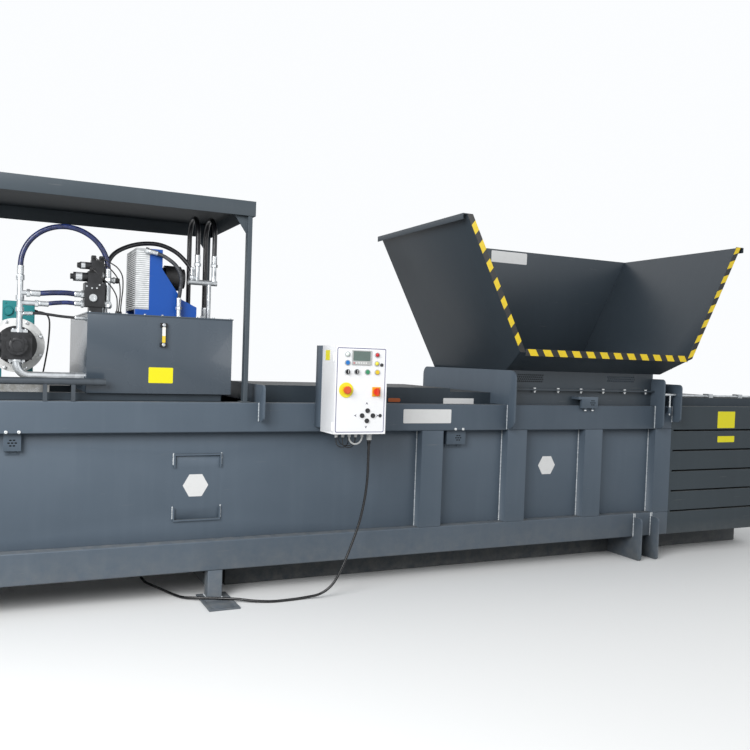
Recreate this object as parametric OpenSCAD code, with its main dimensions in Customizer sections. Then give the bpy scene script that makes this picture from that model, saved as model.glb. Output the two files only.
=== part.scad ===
// Channel baler with a top hopper, a hydraulic ram, a hinged bale door and a power pack under a canopy.
// Machine frame: x runs from the closed end to the bale door, y = 0 is the front face of the side
// beams and grows away from the operator, z = 0 is the floor. place() moves it all to its centre.

/* [Channel] */
// Width over the side beams
channel_w = 1300; // [1200:50:1450]
// Height from the underside of the lower beams to the top of the upper beams
channel_h = 1131; // [1100:1:1180]
// Height of the hollow side beams
beam_h = 200; // [180:5:210]
// Depth of the hollow side beams
beam_d = 100; // [90:5:120]
// Wall of the hollow side beams
beam_t = 8; // [6:1:10]
// Thickness of the side plates
side_t = 15; // [10:1:20]
// Height of the skids under the channel
skid_h = 195; // [180:5:220]
// Height of the floor plate's top above the beam undersides
floor_h = 105; // [95:1:115]
// Drop of the chamber roof below the top of the upper beams
roof_drop = 126; // [115:1:135]
// Thickness of the heavy plates across the channel
plate_t = 15; // [12:1:20]
// Width of the box ribs on the sides
rib_w = 183; // [150:1:200]

/* [Lengths] */
// Length of the cylinder section
cylinder_l = 2595; // [2595:5:2700]
// Length of the ram section
ram_l = 2033; // [2033:1:2200]
// Length of the feed opening
feed_l = 1542; // [1440:1:1600]
// Length of the bale chamber
chamber_l = 1200; // [1000:10:1500]
// Travel of the ram
stroke = 1900; // [1500:10:1900]

/* [Tying slots] */
// Height of the lowest tying slot above the beam undersides
slot_first = 200; // [196:1:206]
// Distance from one tying slot to the next
slot_pitch = 179; // [176:1:181]
// Width of a tying slot
slot_w = 14; // [10:1:18]
// Number of tying slots
slot_n = 5; // [4:1:5]

/* [Hopper] */
// Height of the neck between the beams and the hopper
neck_h = 274; // [250:1:300]
// Height of the hopper walls above the neck
hopper_h = 1135; // [1000:5:1200]
// Outward lean of the end walls over their height
flare = 590; // [400:5:620]
// Reach of the hopper's foot beyond the neck at the chamber end
foot_reach = 95; // [40:5:120]
// Reach of the front lip beyond the beam faces
lip_reach = 220; // [150:5:260]
// Rise of the sloping front wall
lip_rise = 142; // [100:1:180]
// Sheet thickness of the hopper
sheet_t = 6; // [4:1:8]
// Setback of the neck's front panel
neck_in = 60; // [40:1:70]

/* [Power pack] */
// Reach of the canopy past the tank
canopy_over = 130; // [80:5:145]
// Height of the canopy's roof above the beams
canopy_h = 1364; // [1300:4:1450]
// Depth of the canopy's fascia
fascia_h = 100; // [80:1:120]
// Length of the oil tank
tank_l = 935; // [900:5:950]
// Height of the oil tank
tank_h = 503; // [480:1:520]
// Height of the pump's axis above the beams
pump_h = 337; // [330:1:345]

/* [Control box] */
// Width of the control box
box_w = 385; // [380:1:400]
// Height of the control box
box_h = 595; // [590:1:620]
// Depth of the control box without its door
box_d = 215; // [180:5:250]
// Depth of the bracket behind the control box
bracket_d = 106; // [80:1:120]
// Thickness of the control box door
door_t = 20; // [18:1:24]

/* [Hidden] */
$fn = 48;

paint = [0.30, 0.34, 0.38];
paint_dark = [0.24, 0.27, 0.30];
zinc = [0.78, 0.79, 0.80];
black = [0.07, 0.07, 0.08];

gap = 0.3;
lower_top = skid_h + beam_h;
deck_z = skid_h + channel_h;
upper_bottom = deck_z - beam_h;
floor_z = skid_h + floor_h;
floor_t = 20;
roof_z = deck_z - roof_drop;
roof_t = 20;
side_y = beam_d - side_t;
inner_w = channel_w - 2 * beam_d;
centre_y = channel_w / 2;
feed_x = cylinder_l + ram_l;
rib_pitch = feed_l / 2;
feed_end = feed_x + feed_l;
chamber_x = feed_end + rib_w;
chamber_end = chamber_x + chamber_l;
neck_z = deck_z + neck_h;
hopper_z = neck_z + hopper_h;
back_y = channel_w - neck_in - 30;
lug = 95;

// A box from its lowest to its highest corner
module block(a, b) translate(a) cube(b - a);

// A rounded rectangle from the origin
module rounded(w, h, r) {
    translate([r, 0]) square([w - 2 * r, h]);
    translate([0, r]) square([w, h - 2 * r]);
    for (x = [r, w - r], y = [r, h - r]) translate([x, y]) circle(r, $fn = 24);
}

// The section of a hollow tube from the origin
module tube_section(w, h, t, r = 8) difference() {
    rounded(w, h, r);
    translate([t, t]) square([w - 2 * t, h - 2 * t]);
}

// Extrudes a section drawn in y and z along x
module along_x(x, l) translate([x, 0, 0]) rotate([90, 0, 90]) linear_extrude(l) children();

// Extrudes a section drawn in x and z along y
module along_y(y, l) translate([0, y + l, 0]) rotate([90, 0, 0]) linear_extrude(l) children();

// A round bar or a ring along x, y or z from a point
module bar_x(p, r, l, bore = 0) translate(p) rotate([0, 90, 0]) ring(r, l, bore);
module bar_y(p, r, l, bore = 0) translate(p) rotate([-90, 0, 0]) ring(r, l, bore);
module bar_z(p, r, l, bore = 0) translate(p) ring(r, l, bore);
module ring(r, l, bore) difference() {
    cylinder(r = r, h = l);
    if (bore > 0) translate([0, 0, -1]) cylinder(r = bore, h = l + 2);
}

// Copies a front piece to the rear side of the channel
module both_sides() {
    children();
    translate([0, channel_w, 0]) mirror([0, 1, 0]) children();
}

// Two skids on the floor
skid_y = 310;
skid_w = 80;
skid_x = 2460;
leg_w = 100;
leg_x = [240, 2260];
base_reach = 260;
anchor_r = 9;
anchor_x = [-20, 125];
anchor_y = [-225, -65];
cross_w = 80;
cross_h = floor_h - floor_t;
cross_n = 10;
cross_x0 = 120;
cross_pitch = (chamber_end - 200) / (cross_n - 0.5);
module skids() color(paint_dark) both_sides() along_x(skid_x, chamber_end - skid_x)
    translate([skid_y, 0]) tube_section(skid_w, skid_h, beam_t);

// Cross tubes under the floor plate and ties between the legs
module base_frame() color(paint_dark) {
    for (i = [0:cross_n - 1])
        along_y(beam_d, inner_w)
            translate([cross_x0 + i * cross_pitch, skid_h]) tube_section(cross_w, cross_h, 6);
    for (x = leg_x)
        along_y(leg_w, channel_w - 2 * leg_w) translate([x + 10, 60]) tube_section(80, 80, 6);
}

// Floor of the channel, with the plate that closes its cylinder end
end_t = 10;
module floor_plate() color(paint_dark) {
    block([0, beam_d, floor_z - floor_t], [chamber_end, channel_w - beam_d, floor_z]);
    block([0, beam_d, skid_h + beam_h / 2], [end_t, channel_w - beam_d, deck_z]);
}

// Hollow beams along the top and bottom of both sides
module side_beams() color(paint) both_sides() for (z = [skid_h, upper_bottom])
    along_x(0, chamber_x) translate([0, z]) tube_section(beam_d, beam_h, beam_t);

// The two channels across the frame that hold the cylinder, with lugs and pin between them
mount_x = cylinder_l - 565;
mount_w = 320;
mount_h = 450;
mount_leg = 90;
mount_t = 10;
mount_proud = 15;
axis_z = (floor_z + roof_z) / 2;
mount_pin_x = mount_x + mount_w / 2;
mount_pin_r = 30;
lug_gap = 100;
lug_t = 30;
lug_half = 60;
module mount_section() for (m = [0, 1])
    translate([mount_x, axis_z]) mirror([0, m]) translate([0, mount_h / 2 - mount_leg]) difference() {
        square([mount_w, mount_leg]);
        translate([mount_t, -1]) square([mount_w - 2 * mount_t, mount_leg - mount_t + 1]);
    }

module cylinder_mount() color(paint) {
    along_y(side_y - mount_proud, channel_w - 2 * (side_y - mount_proud)) mount_section();
    for (s = [-1, 1]) translate([0, centre_y + s * (lug_gap + lug_t) / 2 - lug_t / 2, 0])
        block([mount_pin_x - lug_half, 0, axis_z - mount_h / 2 + mount_t],
              [mount_pin_x + lug_half, lug_t, axis_z + mount_h / 2 - mount_t]);
    bar_y([mount_pin_x, centre_y - lug_gap / 2 - lug_t - 12, axis_z], mount_pin_r, lug_gap + 2 * lug_t + 24);
}

// Set-back plates that close the sides between the beams, with the folded box ribs that stiffen
// them at the feed opening
rib_t = 10;
rib_n = 4;
module side_rib(x) difference() {
    block([x, 0, lower_top], [x + rib_w, side_y, upper_bottom]);
    block([x + rib_t, rib_t, lower_top - 1], [x + rib_w - rib_t, side_y, upper_bottom + 1]);
}
module side_plates() color(paint) {
    both_sides() {
        difference() {
            block([0, side_y, lower_top], [chamber_x, beam_d, upper_bottom]);
            along_y(side_y - 1, side_t + 2) mount_section();
        }
        for (i = [0:rib_n - 1]) side_rib(feed_x + (i - 1) * rib_pitch);
    }
}

// Plates across the channel: their lugs stand proud of the beams and are rounded at the corners
module lug_outline(low, high, back, r = 35) {
    translate([-lug, low]) rounded(lug + back, high - low, r);
    translate([0, low]) square([back, high - low]);
}

// Boss on the beam face for the clamp screw
clamp_x = feed_end + 110;
clamp_y = -40;
clamp_z = deck_z - 6;
clamp_r = 8;
module clamp_boss() {
    bar_z([clamp_x, clamp_y, clamp_z - 55], 16, 55, clamp_r + 0.06);
    block([clamp_x - 6, clamp_y + 14, clamp_z - 50], [clamp_x + 6, 0, clamp_z - 5]);
}

module transverse_plates() color(paint) {
    along_x(cylinder_l - plate_t, plate_t) {
        difference() {
            for (m = [0, 1]) translate([m * channel_w, 0]) mirror([m, 0])
                lug_outline(deck_z - 122, deck_z + 124, 200);
            translate([0, deck_z - 150]) square([channel_w, 150]);
        }
        translate([150, deck_z]) square([channel_w - 300, 124]);
    }
    along_x(feed_x - plate_t, plate_t) difference() {
        union() for (m = [0, 1]) translate([m * channel_w, 0]) mirror([m, 0])
            lug_outline(deck_z - 188, neck_z, centre_y, 70);
        translate([0, deck_z - 200]) square([channel_w, 200]);
    }
    along_x(feed_end - plate_t, plate_t) {
        difference() {
            for (m = [0, 1]) translate([m * channel_w, 0]) mirror([m, 0])
                lug_outline(deck_z - 190, deck_z + 234, 200);
            translate([0, deck_z - 200]) square([channel_w, 200]);
        }
        translate([neck_in, deck_z]) square([channel_w - 2 * neck_in, neck_h]);
    }
    along_x(chamber_x, plate_t) {
        difference() {
            for (m = [0, 1]) translate([m * channel_w, 0]) mirror([m, 0])
                lug_outline(deck_z - 136, deck_z + 191, 200);
            translate([0, deck_z - 150]) square([channel_w, 150]);
        }
        translate([150, deck_z]) square([channel_w - 300, 191]);
    }
    clamp_boss();
}

// Legs with floor plates under the cylinder section, and foot plates under the feed section
foot_x = feed_end - 190;
base_t = 10;
module leg(x) {
    translate([x, 0, base_t]) linear_extrude(skid_h - base_t) tube_section(leg_w, leg_w, 6);
    difference() {
        block([x - 50, -base_reach, 0], [x + leg_w + 55, leg_w + 20, base_t]);
        for (dx = anchor_x, y = anchor_y) bar_z([x + dx, y, -1], anchor_r, base_t + 2);
    }
}
module foot_plate(x) along_x(x - plate_t, plate_t) {
    difference() {
        translate([-lug, 0]) rounded(lug + 60, lower_top - 32, 30);
        translate([0, skid_h]) square([100, 300]);
    }
    square([skid_y, skid_h]);
}
module feet() color(paint) both_sides() {
    for (x = leg_x) leg(x);
    foot_plate(foot_x);
    foot_plate(feed_end);
}

// Bale chamber: boards with tying slots between them, held by an end plate at each end
function slot_z(i) = skid_h + slot_first + i * slot_pitch;
function board_low(i, low) = i == 0 ? low : slot_z(i - 1) + slot_w / 2;
function board_high(i, high) = i == slot_n ? high : slot_z(i) - slot_w / 2;
module boards(d, low, high) for (i = [0:slot_n])
    translate([0, board_low(i, low)])
        tube_section(d, board_high(i, high) - board_low(i, low), board_t, 4);

// Frame side of the door hinge: knuckles with a standing pin, on the rear wall
hinge_x = chamber_end + 40;
hinge_y = channel_w + 55;
hinge_r = 28;
hinge_pin_r = 16;
knuckle_h = 50;
knuckle_z = [skid_h + 60, slot_z(1) + slot_pitch / 2 - knuckle_h / 2, skid_h + 980];
module frame_knuckle(z) {
    bar_z([hinge_x, hinge_y, z], hinge_r, knuckle_h);
    bar_z([hinge_x, hinge_y, z + knuckle_h], hinge_pin_r, knuckle_h + 10);
    block([chamber_end - 160, channel_w + gap, z], [chamber_end - 2, channel_w + 27, z + knuckle_h]);
    block([chamber_end - 60, channel_w + 27, z], [hinge_x, hinge_y + 14, z + knuckle_h]);
}

board_t = 10;
wall_end_t = 25;
module chamber_walls() color(paint) {
    both_sides() {
        along_x(chamber_x, chamber_l) boards(beam_d, skid_h, deck_z);
        for (x = [chamber_x, chamber_end - wall_end_t])
            block([x, 0, skid_h], [x + wall_end_t, beam_d, deck_z]);
    }
    for (z = knuckle_z) frame_knuckle(z);
}

// Roof of the bale chamber: plate, shear blade, cross ribs and a sheet cover above them
cover_t = 5;
cover_h = 74;
blade_w = 60;
module chamber_roof() color(paint_dark) {
    block([feed_end, beam_d, roof_z], [chamber_end, channel_w - beam_d, roof_z + roof_t]);
    block([feed_end, beam_d, roof_z], [feed_end + blade_w, channel_w - beam_d, roof_z + 2 * roof_t]);
    for (i = [0:4]) along_y(beam_d, inner_w)
        translate([chamber_x + 60 + i * (chamber_l - 180) / 4, roof_z + roof_t])
            tube_section(60, roof_drop - roof_t, 6, 4);
    difference() {
        block([chamber_x + plate_t, 80, deck_z], [chamber_end, channel_w - 80, deck_z + cover_h]);
        block([chamber_x + plate_t - 1, 80 + cover_t, deck_z - 1],
              [chamber_end - cover_t, channel_w - 80 - cover_t, deck_z + cover_h - cover_t]);
    }
}

// Roof over the ram with its raised sheet cover, high near the cylinder and lower at the hopper
tunnel_y = 250;
tunnel_h = 114;
tunnel_step_x = feed_x - 396;
tunnel_step = 28;
module tunnel_profile(low, inset) polygon([
    [cylinder_l, low], [feed_x - plate_t, low],
    [feed_x - plate_t, deck_z + tunnel_h - tunnel_step - inset],
    [tunnel_step_x - inset, deck_z + tunnel_h - tunnel_step - inset],
    [tunnel_step_x - inset, deck_z + tunnel_h - inset], [cylinder_l, deck_z + tunnel_h - inset]]);
module ram_roof() color(paint_dark) {
    block([end_t, beam_d, roof_z], [feed_x, channel_w - beam_d, roof_z + roof_t]);
    difference() {
        along_y(tunnel_y, channel_w - 2 * tunnel_y) tunnel_profile(roof_z + roof_t, 0);
        along_y(tunnel_y + cover_t, channel_w - 2 * tunnel_y - 2 * cover_t)
            tunnel_profile(roof_z + roof_t, cover_t);
    }
}

// Front and back panels of the neck. The front one is split by a bolted flange and has two vents.
neck_left = feed_x;
neck_right = feed_end - plate_t;
flange_z = deck_z + 124;
flange_w = 45;
bolt_n = 6;
bolt_x0 = neck_left + 267;
bolt_pitch = 235;
bolt_r = 6;
bolt_y = neck_in - 24;
vent_hole = 7;
vent_pitch = 20;
module vent(x, z, columns, rows) for (i = [0:columns - 1], j = [0:rows - 1])
    bar_y([x + (i + 0.5 * (j % 2)) * vent_pitch, neck_in - 1, z + j * vent_pitch * 0.87],
          vent_hole, sheet_t + 2);
module neck_panels() color(paint) difference() {
    union() {
        block([neck_left, neck_in, deck_z], [neck_right, neck_in + sheet_t, neck_z]);
        block([neck_left, neck_in - flange_w, flange_z - sheet_t],
              [neck_right, neck_in, flange_z + sheet_t]);
        block([neck_left, back_y, deck_z], [neck_right, back_y + sheet_t, neck_z]);
    }
    for (i = [0:bolt_n - 1])
        bar_z([bolt_x0 + i * bolt_pitch, bolt_y, flange_z - 20], bolt_r + 0.5, 40);
    vent(neck_left + 110, flange_z + 64, 13, 4);
    vent(neck_right - 490, flange_z + 82, 15, 3);
}

// Bolts through the neck flange
module flange_bolts() color(zinc) for (i = [0:bolt_n - 1])
    translate([bolt_x0 + i * bolt_pitch, bolt_y, flange_z - sheet_t]) {
        translate([0, 0, -18]) cylinder(r = bolt_r, h = 2 * sheet_t + 24);
        translate([0, 0, -10]) cylinder(r = 11, h = 10, $fn = 6);
        translate([0, 0, 2 * sheet_t]) cylinder(r = 11, h = 9, $fn = 6);
    }

// Hopper walls. The end walls lean out, have folded lips on top and flanges along the front edge.
lip_w = 35;
lip_drop = 45;
front_y = -lip_reach;
foot_right = neck_right + foot_reach;
lean = flare / hopper_h;
lean_t = sheet_t * sqrt(1 + lean * lean);
module wall_profile() polygon([
    [neck_in, neck_z], [front_y, neck_z + lip_rise], [front_y - sheet_t, neck_z + lip_rise],
    [front_y - sheet_t, hopper_z], [back_y, hopper_z], [back_y, neck_z]]);
module leaning_strip(w) polygon([
    [0, neck_z], [w, neck_z], [w - flare, hopper_z], [-flare, hopper_z]]);
module end_wall() {
    depth = back_y - front_y + sheet_t;
    intersection() {
        union() {
            along_y(front_y - sheet_t, depth) leaning_strip(lean_t);
            along_y(front_y - sheet_t, sheet_t) leaning_strip(lip_drop + lean_t);
        }
        along_x(-flare - 50, flare + 100) wall_profile();
    }
    along_y(front_y - sheet_t, depth) translate([-flare, hopper_z]) {
        translate([-lip_w, -sheet_t]) square([lip_w + 0.7 * lean_t, sheet_t]);
        translate([-lip_w, -lip_drop]) square([sheet_t, lip_drop]);
    }
}
module hopper_left_wall() color(paint) translate([neck_left, 0, 0]) end_wall();
module hopper_right_wall() color(paint) {
    translate([foot_right, 0, 0]) mirror([1, 0, 0]) end_wall();
    block([neck_right, neck_in + sheet_t, neck_z],
          [foot_right - 0.4 * lean_t, back_y, neck_z + sheet_t]);
}
module hopper_back_wall() color(paint) {
    along_y(back_y, sheet_t) polygon([
        [neck_left, neck_z], [foot_right, neck_z],
        [foot_right + flare, hopper_z], [neck_left - flare, hopper_z]]);
    block([neck_left - flare, back_y + sheet_t, hopper_z - sheet_t],
          [foot_right + flare, back_y + sheet_t + lip_w, hopper_z]);
}

// Short sloping front wall with an upright lip
lip_h = 53;
module hopper_front_wall() color(paint) {
    intersection() {
        along_x(neck_left - flare, foot_right - neck_left + 2 * flare) polygon([
            [neck_in, neck_z], [neck_in + sheet_t, neck_z],
            [front_y, neck_z + lip_rise], [front_y - sheet_t, neck_z + lip_rise]]);
        along_y(front_y - sheet_t, neck_in - front_y + 2 * sheet_t) polygon([
            [neck_left + lean_t, neck_z], [foot_right - lean_t, neck_z],
            [foot_right - lean_t + lip_rise * lean, neck_z + lip_rise],
            [neck_left + lean_t - lip_rise * lean, neck_z + lip_rise]]);
    }
    along_y(front_y - sheet_t, sheet_t) polygon([
        [neck_left + lean_t + lip_drop - lip_rise * lean, neck_z + lip_rise - lip_h / 2],
        [foot_right - lean_t - lip_drop + lip_rise * lean, neck_z + lip_rise - lip_h / 2],
        [foot_right - lean_t - lip_drop + lip_rise * lean, neck_z + lip_rise + lip_h / 2],
        [neck_left + lean_t + lip_drop - lip_rise * lean, neck_z + lip_rise + lip_h / 2]]);
}

// Sheet canopy over the power pack, with a fascia all round
canopy_x = 60;
canopy_y = 35;
canopy_top = deck_z + canopy_h;
canopy_t = 4;
post_w = 30;
post_d = 60;
gusset_w = 110;
gusset_h = 220;
module canopy_roof() color(paint) difference() {
    block([canopy_x, canopy_y, canopy_top - fascia_h], [canopy_end, channel_w - canopy_y, canopy_top]);
    block([canopy_x + canopy_t, canopy_y + canopy_t, canopy_top - fascia_h - 1],
          [canopy_end - canopy_t, channel_w - canopy_y - canopy_t, canopy_top - canopy_t]);
}
module canopy_post(x, m) {
    translate([x, canopy_y + canopy_t, deck_z])
        linear_extrude(canopy_h - canopy_t) tube_section(post_w, post_d, 3, 3);
    along_y(canopy_y + canopy_t + post_d / 2, 4)
        translate([m > 0 ? x + post_w : x, canopy_top - canopy_t])
            polygon([[0, 0], [m * gusset_w, 0], [m * gusset_w, -fascia_h * 0.6], [0, -gusset_h]]);
    block([x - 20, canopy_y - 5, deck_z], [x + post_w + 20, canopy_y + post_d + 15, deck_z + 6]);
}
module canopy_posts() color(paint) both_sides() {
    canopy_post(canopy_x + canopy_t + 16, 1);
    canopy_post(canopy_end - canopy_t - post_w - 16, -1);
}

// Rails that carry the power pack on the beams, with cross rails and the motor plate
rail = 50;
rail_y = 65;
rail_x = 100;
pack_z = deck_z + rail;
tank_x = 1465;
tank_y = 70;
tank_end = tank_x + tank_l;
canopy_end = tank_end + canopy_over;
pump_x = 1065;
motor_plate = 12;
module pack_frame() color(paint_dark) {
    both_sides() along_x(rail_x + 30, tank_end - 60 - rail_x - 30)
        translate([rail_y + 40, deck_z]) tube_section(rail, rail, 4, 4);
    for (x = [pump_x - 190, pump_x + 140, tank_x + 20, tank_end - 60 - rail])
        along_y(rail_y + 40 + rail, channel_w - 2 * (rail_y + 40 + rail))
            translate([x, deck_z]) tube_section(rail, rail, 4, 4);
    block([pump_x - 190, 480, pack_z], [pump_x + 190, 900, pack_z + motor_plate]);
}

// Open tray that catches drips under the pump
tray_x = pump_x - 765;
tray_end = pump_x + 188;
tray_t = 3;
tray_h = 56;
module drip_tray() color(zinc) difference() {
    block([tray_x, 110, pack_z], [tray_end, 470, pack_z + tray_h]);
    block([tray_x + tray_t, 110 + tray_t, pack_z + tray_t],
          [tray_end - tray_t, 470 - tray_t, pack_z + tray_h + 1]);
}

// Oil tank, its screwed lid and the level gauge on its front
tank_t = 5;
lid_t = 8;
tank_z = pack_z + tank_h;
lid_z = tank_z + lid_t;
module oil_tank() color(paint) difference() {
    block([tank_x, tank_y, pack_z], [tank_end, channel_w - tank_y, tank_z]);
    block([tank_x + tank_t, tank_y + tank_t, pack_z + tank_t],
          [tank_end - tank_t, channel_w - tank_y - tank_t, tank_z + 1]);
}
module tank_lid() color(paint) {
    block([tank_x - 4, tank_y - 4, tank_z], [tank_end + 4, channel_w - tank_y + 4, lid_z]);
    for (y = [tank_y + 12, channel_w - tank_y - 12], i = [0:8])
        bar_z([tank_x + 16 + i * (tank_l - 32) / 8, y, lid_z], 8, 6);
    for (x = [tank_x + 12, tank_end - 12], i = [1:8])
        bar_z([x, tank_y + 16 + i * (channel_w - 2 * tank_y - 32) / 9, lid_z], 8, 6);
    bar_z([tank_end - 140, channel_w - 220, lid_z], 45, 70);
}
gauge_x = tank_x + 451;
gauge_w = 43;
gauge_z = tank_z - 195;
gauge_h = 155;
module level_gauge() color(black) {
    block([gauge_x, tank_y - 18, gauge_z], [gauge_x + gauge_w, tank_y, gauge_z + 26]);
    block([gauge_x, tank_y - 18, gauge_z + gauge_h - 26],
          [gauge_x + gauge_w, tank_y, gauge_z + gauge_h]);
    bar_z([gauge_x + gauge_w / 2, tank_y - 10, gauge_z + 20], 8, gauge_h - 40);
    for (z = [gauge_z + 13, gauge_z + gauge_h - 13])
        bar_y([gauge_x + gauge_w / 2, tank_y - 26, z], 10, 8);
}

// Manifold block on the lid with its solenoid valves and a plugged port
block_y = 180;
block_d = 120;
block_w = 121;
block_x = tank_x - 8;
block_z = lid_z + 40;
block_h = 153;
valve_y = block_y + block_d / 2;
module valve_block() color(black) {
    block([block_x, block_y, block_z], [block_x + block_w, block_y + block_d, block_z + block_h]);
    block([block_x + 30, block_y + 10, lid_z], [block_x + block_w - 10, block_y + block_d - 10, block_z]);
    bar_y([block_x + 51, block_y - 8, block_z + 56], 24, 9);
    block([block_x + 20, block_y + 20, block_z + block_h],
          [block_x + 110, block_y + 100, block_z + block_h + 75]);
    bar_x([block_x - 67, valve_y, block_z + block_h + 38], 29, 90);
    bar_x([block_x - 85, valve_y, block_z + block_h + 38], 18, 20);
    block([block_x + 40, block_y + 25, block_z + block_h + 75],
          [block_x + 118, block_y + 95, block_z + block_h + 150]);
    bar_x([block_x - 27, valve_y, block_z + block_h + 112], 23, 70);
    bar_x([block_x + 108, valve_y + 30, block_z + block_h + 30], 17, 112);
}

// Electric motor that drives the pump: finned body, flange, feet and terminal box
pump_z = deck_z + pump_h;
motor_y = 430;
motor_r = 150;
motor_l = 480;
motor_flange = 175;
shaft_r = 19;
module pump_motor() color([0.05, 0.45, 0.44]) {
    bar_y([pump_x, motor_y, pump_z], motor_flange, 20);
    bar_y([pump_x, motor_y + 20, pump_z], motor_r - 12, motor_l);
    for (a = [0:15:345]) translate([pump_x, motor_y + 40, pump_z]) rotate([0, a, 0])
        block([motor_r - 20, 0, -2], [motor_r, motor_l - 80, 2]);
    bar_y([pump_x, motor_y + motor_l - 30, pump_z], motor_r, 100);
    for (y = [motor_y + 90, motor_y + 330])
        block([pump_x - 150, y, pack_z + motor_plate], [pump_x + 150, y + 60, pack_z + motor_plate + 16]);
    for (x = [pump_x - 110, pump_x + 80], y = [motor_y + 90, motor_y + 330])
        block([x, y, pack_z + motor_plate + 16], [x + 30, y + 60, pump_z - 70]);
    block([pump_x - 80, motor_y + 110, pump_z + motor_r - 30],
          [pump_x + 115, motor_y + 270, pump_z + motor_r + 142]);
    bar_y([pump_x, motor_y - 40, pump_z], shaft_r, 40);
}

// Cast bell housing between motor and pump
bell_y = 330;
bell_r = 110;
module bell_housing() color(zinc) difference() {
    union() {
        bar_y([pump_x, bell_y, pump_z], bell_r, motor_y - bell_y);
        bar_y([pump_x, motor_y - 16, pump_z], motor_flange, 16);
        bar_y([pump_x, bell_y, pump_z], bell_r + 15, 14);
        for (a = [30:60:330]) translate([pump_x, 0, pump_z]) rotate([0, a, 0])
            bar_y([motor_flange - 22, motor_y - 28, 0], 12, 13);
    }
    bar_y([pump_x, bell_y - 1, pump_z], 62, motor_y - bell_y + 2);
}

// Shaft coupling inside the bell housing
module drive_coupling() color(zinc) {
    bar_y([pump_x, bell_y + 20, pump_z], 42, 35, shaft_r + 0.05);
    bar_y([pump_x, bell_y + 55, pump_z], 50, 12, shaft_r + 0.05);
    bar_y([pump_x, bell_y + 67, pump_z], 42, 30, shaft_r + 0.05);
}

// Gear pump with a port block on top and a suction port below
pump_y = 150;
module oil_pump() color(black) {
    bar_y([pump_x, pump_y, pump_z], 62, 60);
    block([pump_x - 88, pump_y + 40, pump_z - 90], [pump_x + 88, bell_y - 22, pump_z + 80]);
    bar_y([pump_x, bell_y - 22, pump_z], bell_r + 12, 22);
    bar_x([pump_x - 150, pump_y + 90, pump_z - 10], 42, 70);
    for (a = [45:90:315]) translate([pump_x, 0, pump_z]) rotate([0, a, 0])
        bar_y([40, pump_y - 8, 0], 8, 10);
    bar_y([pump_x, bell_y, pump_z], shaft_r, 50);
}

// Steel pipes: riser and suction elbow of the pump, the long rail pipe, pipes along the chamber
riser_x = pump_x + 13;
riser_y = 230;
riser_z = pump_z + 80;
riser_top = riser_z + 362;
module quarter_bend(r, bend) rotate_extrude(angle = 90) translate([bend, 0]) circle(r);
rail_pipe_y = 14;
rail_pipe_z = deck_z + 122;
rail_pipe_r = 22;
rail_pipe_l = 1517;
suction_r = 26;
suction_bend = 80;
suction_z = pump_z - 90 - 20 - suction_bend;
module steel_pipes() color(zinc) {
    bar_z([riser_x, riser_y, riser_z], 18, riser_top - riser_z);
    bar_z([riser_x, riser_y, riser_z], 30, 22);
    for (h = [130, 204, 328]) bar_z([riser_x, riser_y, riser_z + h], 25, 28);
    bar_x([riser_x, riser_y, riser_top - 112], 15, 60);
    bar_x([riser_x, riser_y, riser_top - 175], 15, 110);
    bar_z([pump_x, riser_y, pump_z - 110], suction_r, 20);
    bar_z([pump_x, riser_y, pump_z - 102], 40, 12);
    translate([pump_x + suction_bend, riser_y, suction_z + suction_bend])
        rotate([90, 0, 0]) rotate([0, 0, 180]) quarter_bend(suction_r, suction_bend);
    bar_x([pump_x + suction_bend, riser_y, suction_z], suction_r, tank_x - pump_x - suction_bend);
    bar_x([canopy_x, rail_pipe_y, rail_pipe_z], rail_pipe_r, rail_pipe_l);
    for (x = [500, 1222, 1385])
        block([x - 12, 0, deck_z], [x + 12, rail_pipe_y + 14, rail_pipe_z - rail_pipe_r + 4]);
    bar_x([block_x + block_w, riser_y, block_z + 24], 13, port_x - block_x - block_w);
    bar_z([port_x, riser_y, block_z + 8], 17, elbow_top - block_z - 8);
    bar_z([cooler_hose[8][0], cooler_hose[8][1], lid_z], 15, cooler_hose[8][2] - gap - lid_z);
    bar_z([return_hose[0][0], return_hose[0][1], lid_z], 16, return_hose[0][2] - gap - lid_z);
    for (x = drop_x) {
        bar_z([x, drop_y, tee_z], 17, drop_low - tee_z);
        bar_z([x, drop_y + 2 * drop_bend, lid_z], 20, 45);
    }
    bar_x([drop_x[0] - 62, drop_y, tee_z], 19, drop_x[1] - drop_x[0] + 84);
    bar_z([return_hose[12][0], drop_y, tee_z], 15, return_hose[12][2] - gap - tee_z);
    bar_z([drop_x[1] - 33, drop_y, lid_z], 15, tee_z - lid_z);
    for (y = [130, 165]) bar_x([chamber_x + plate_t, y, deck_z + cover_h + 12], 11, chamber_l - 80);
    for (i = [0:2]) block([chamber_x + 180 + i * 380, 112, deck_z + cover_h],
                          [chamber_x + 230 + i * 380, 183, deck_z + cover_h + 34]);
}

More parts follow.
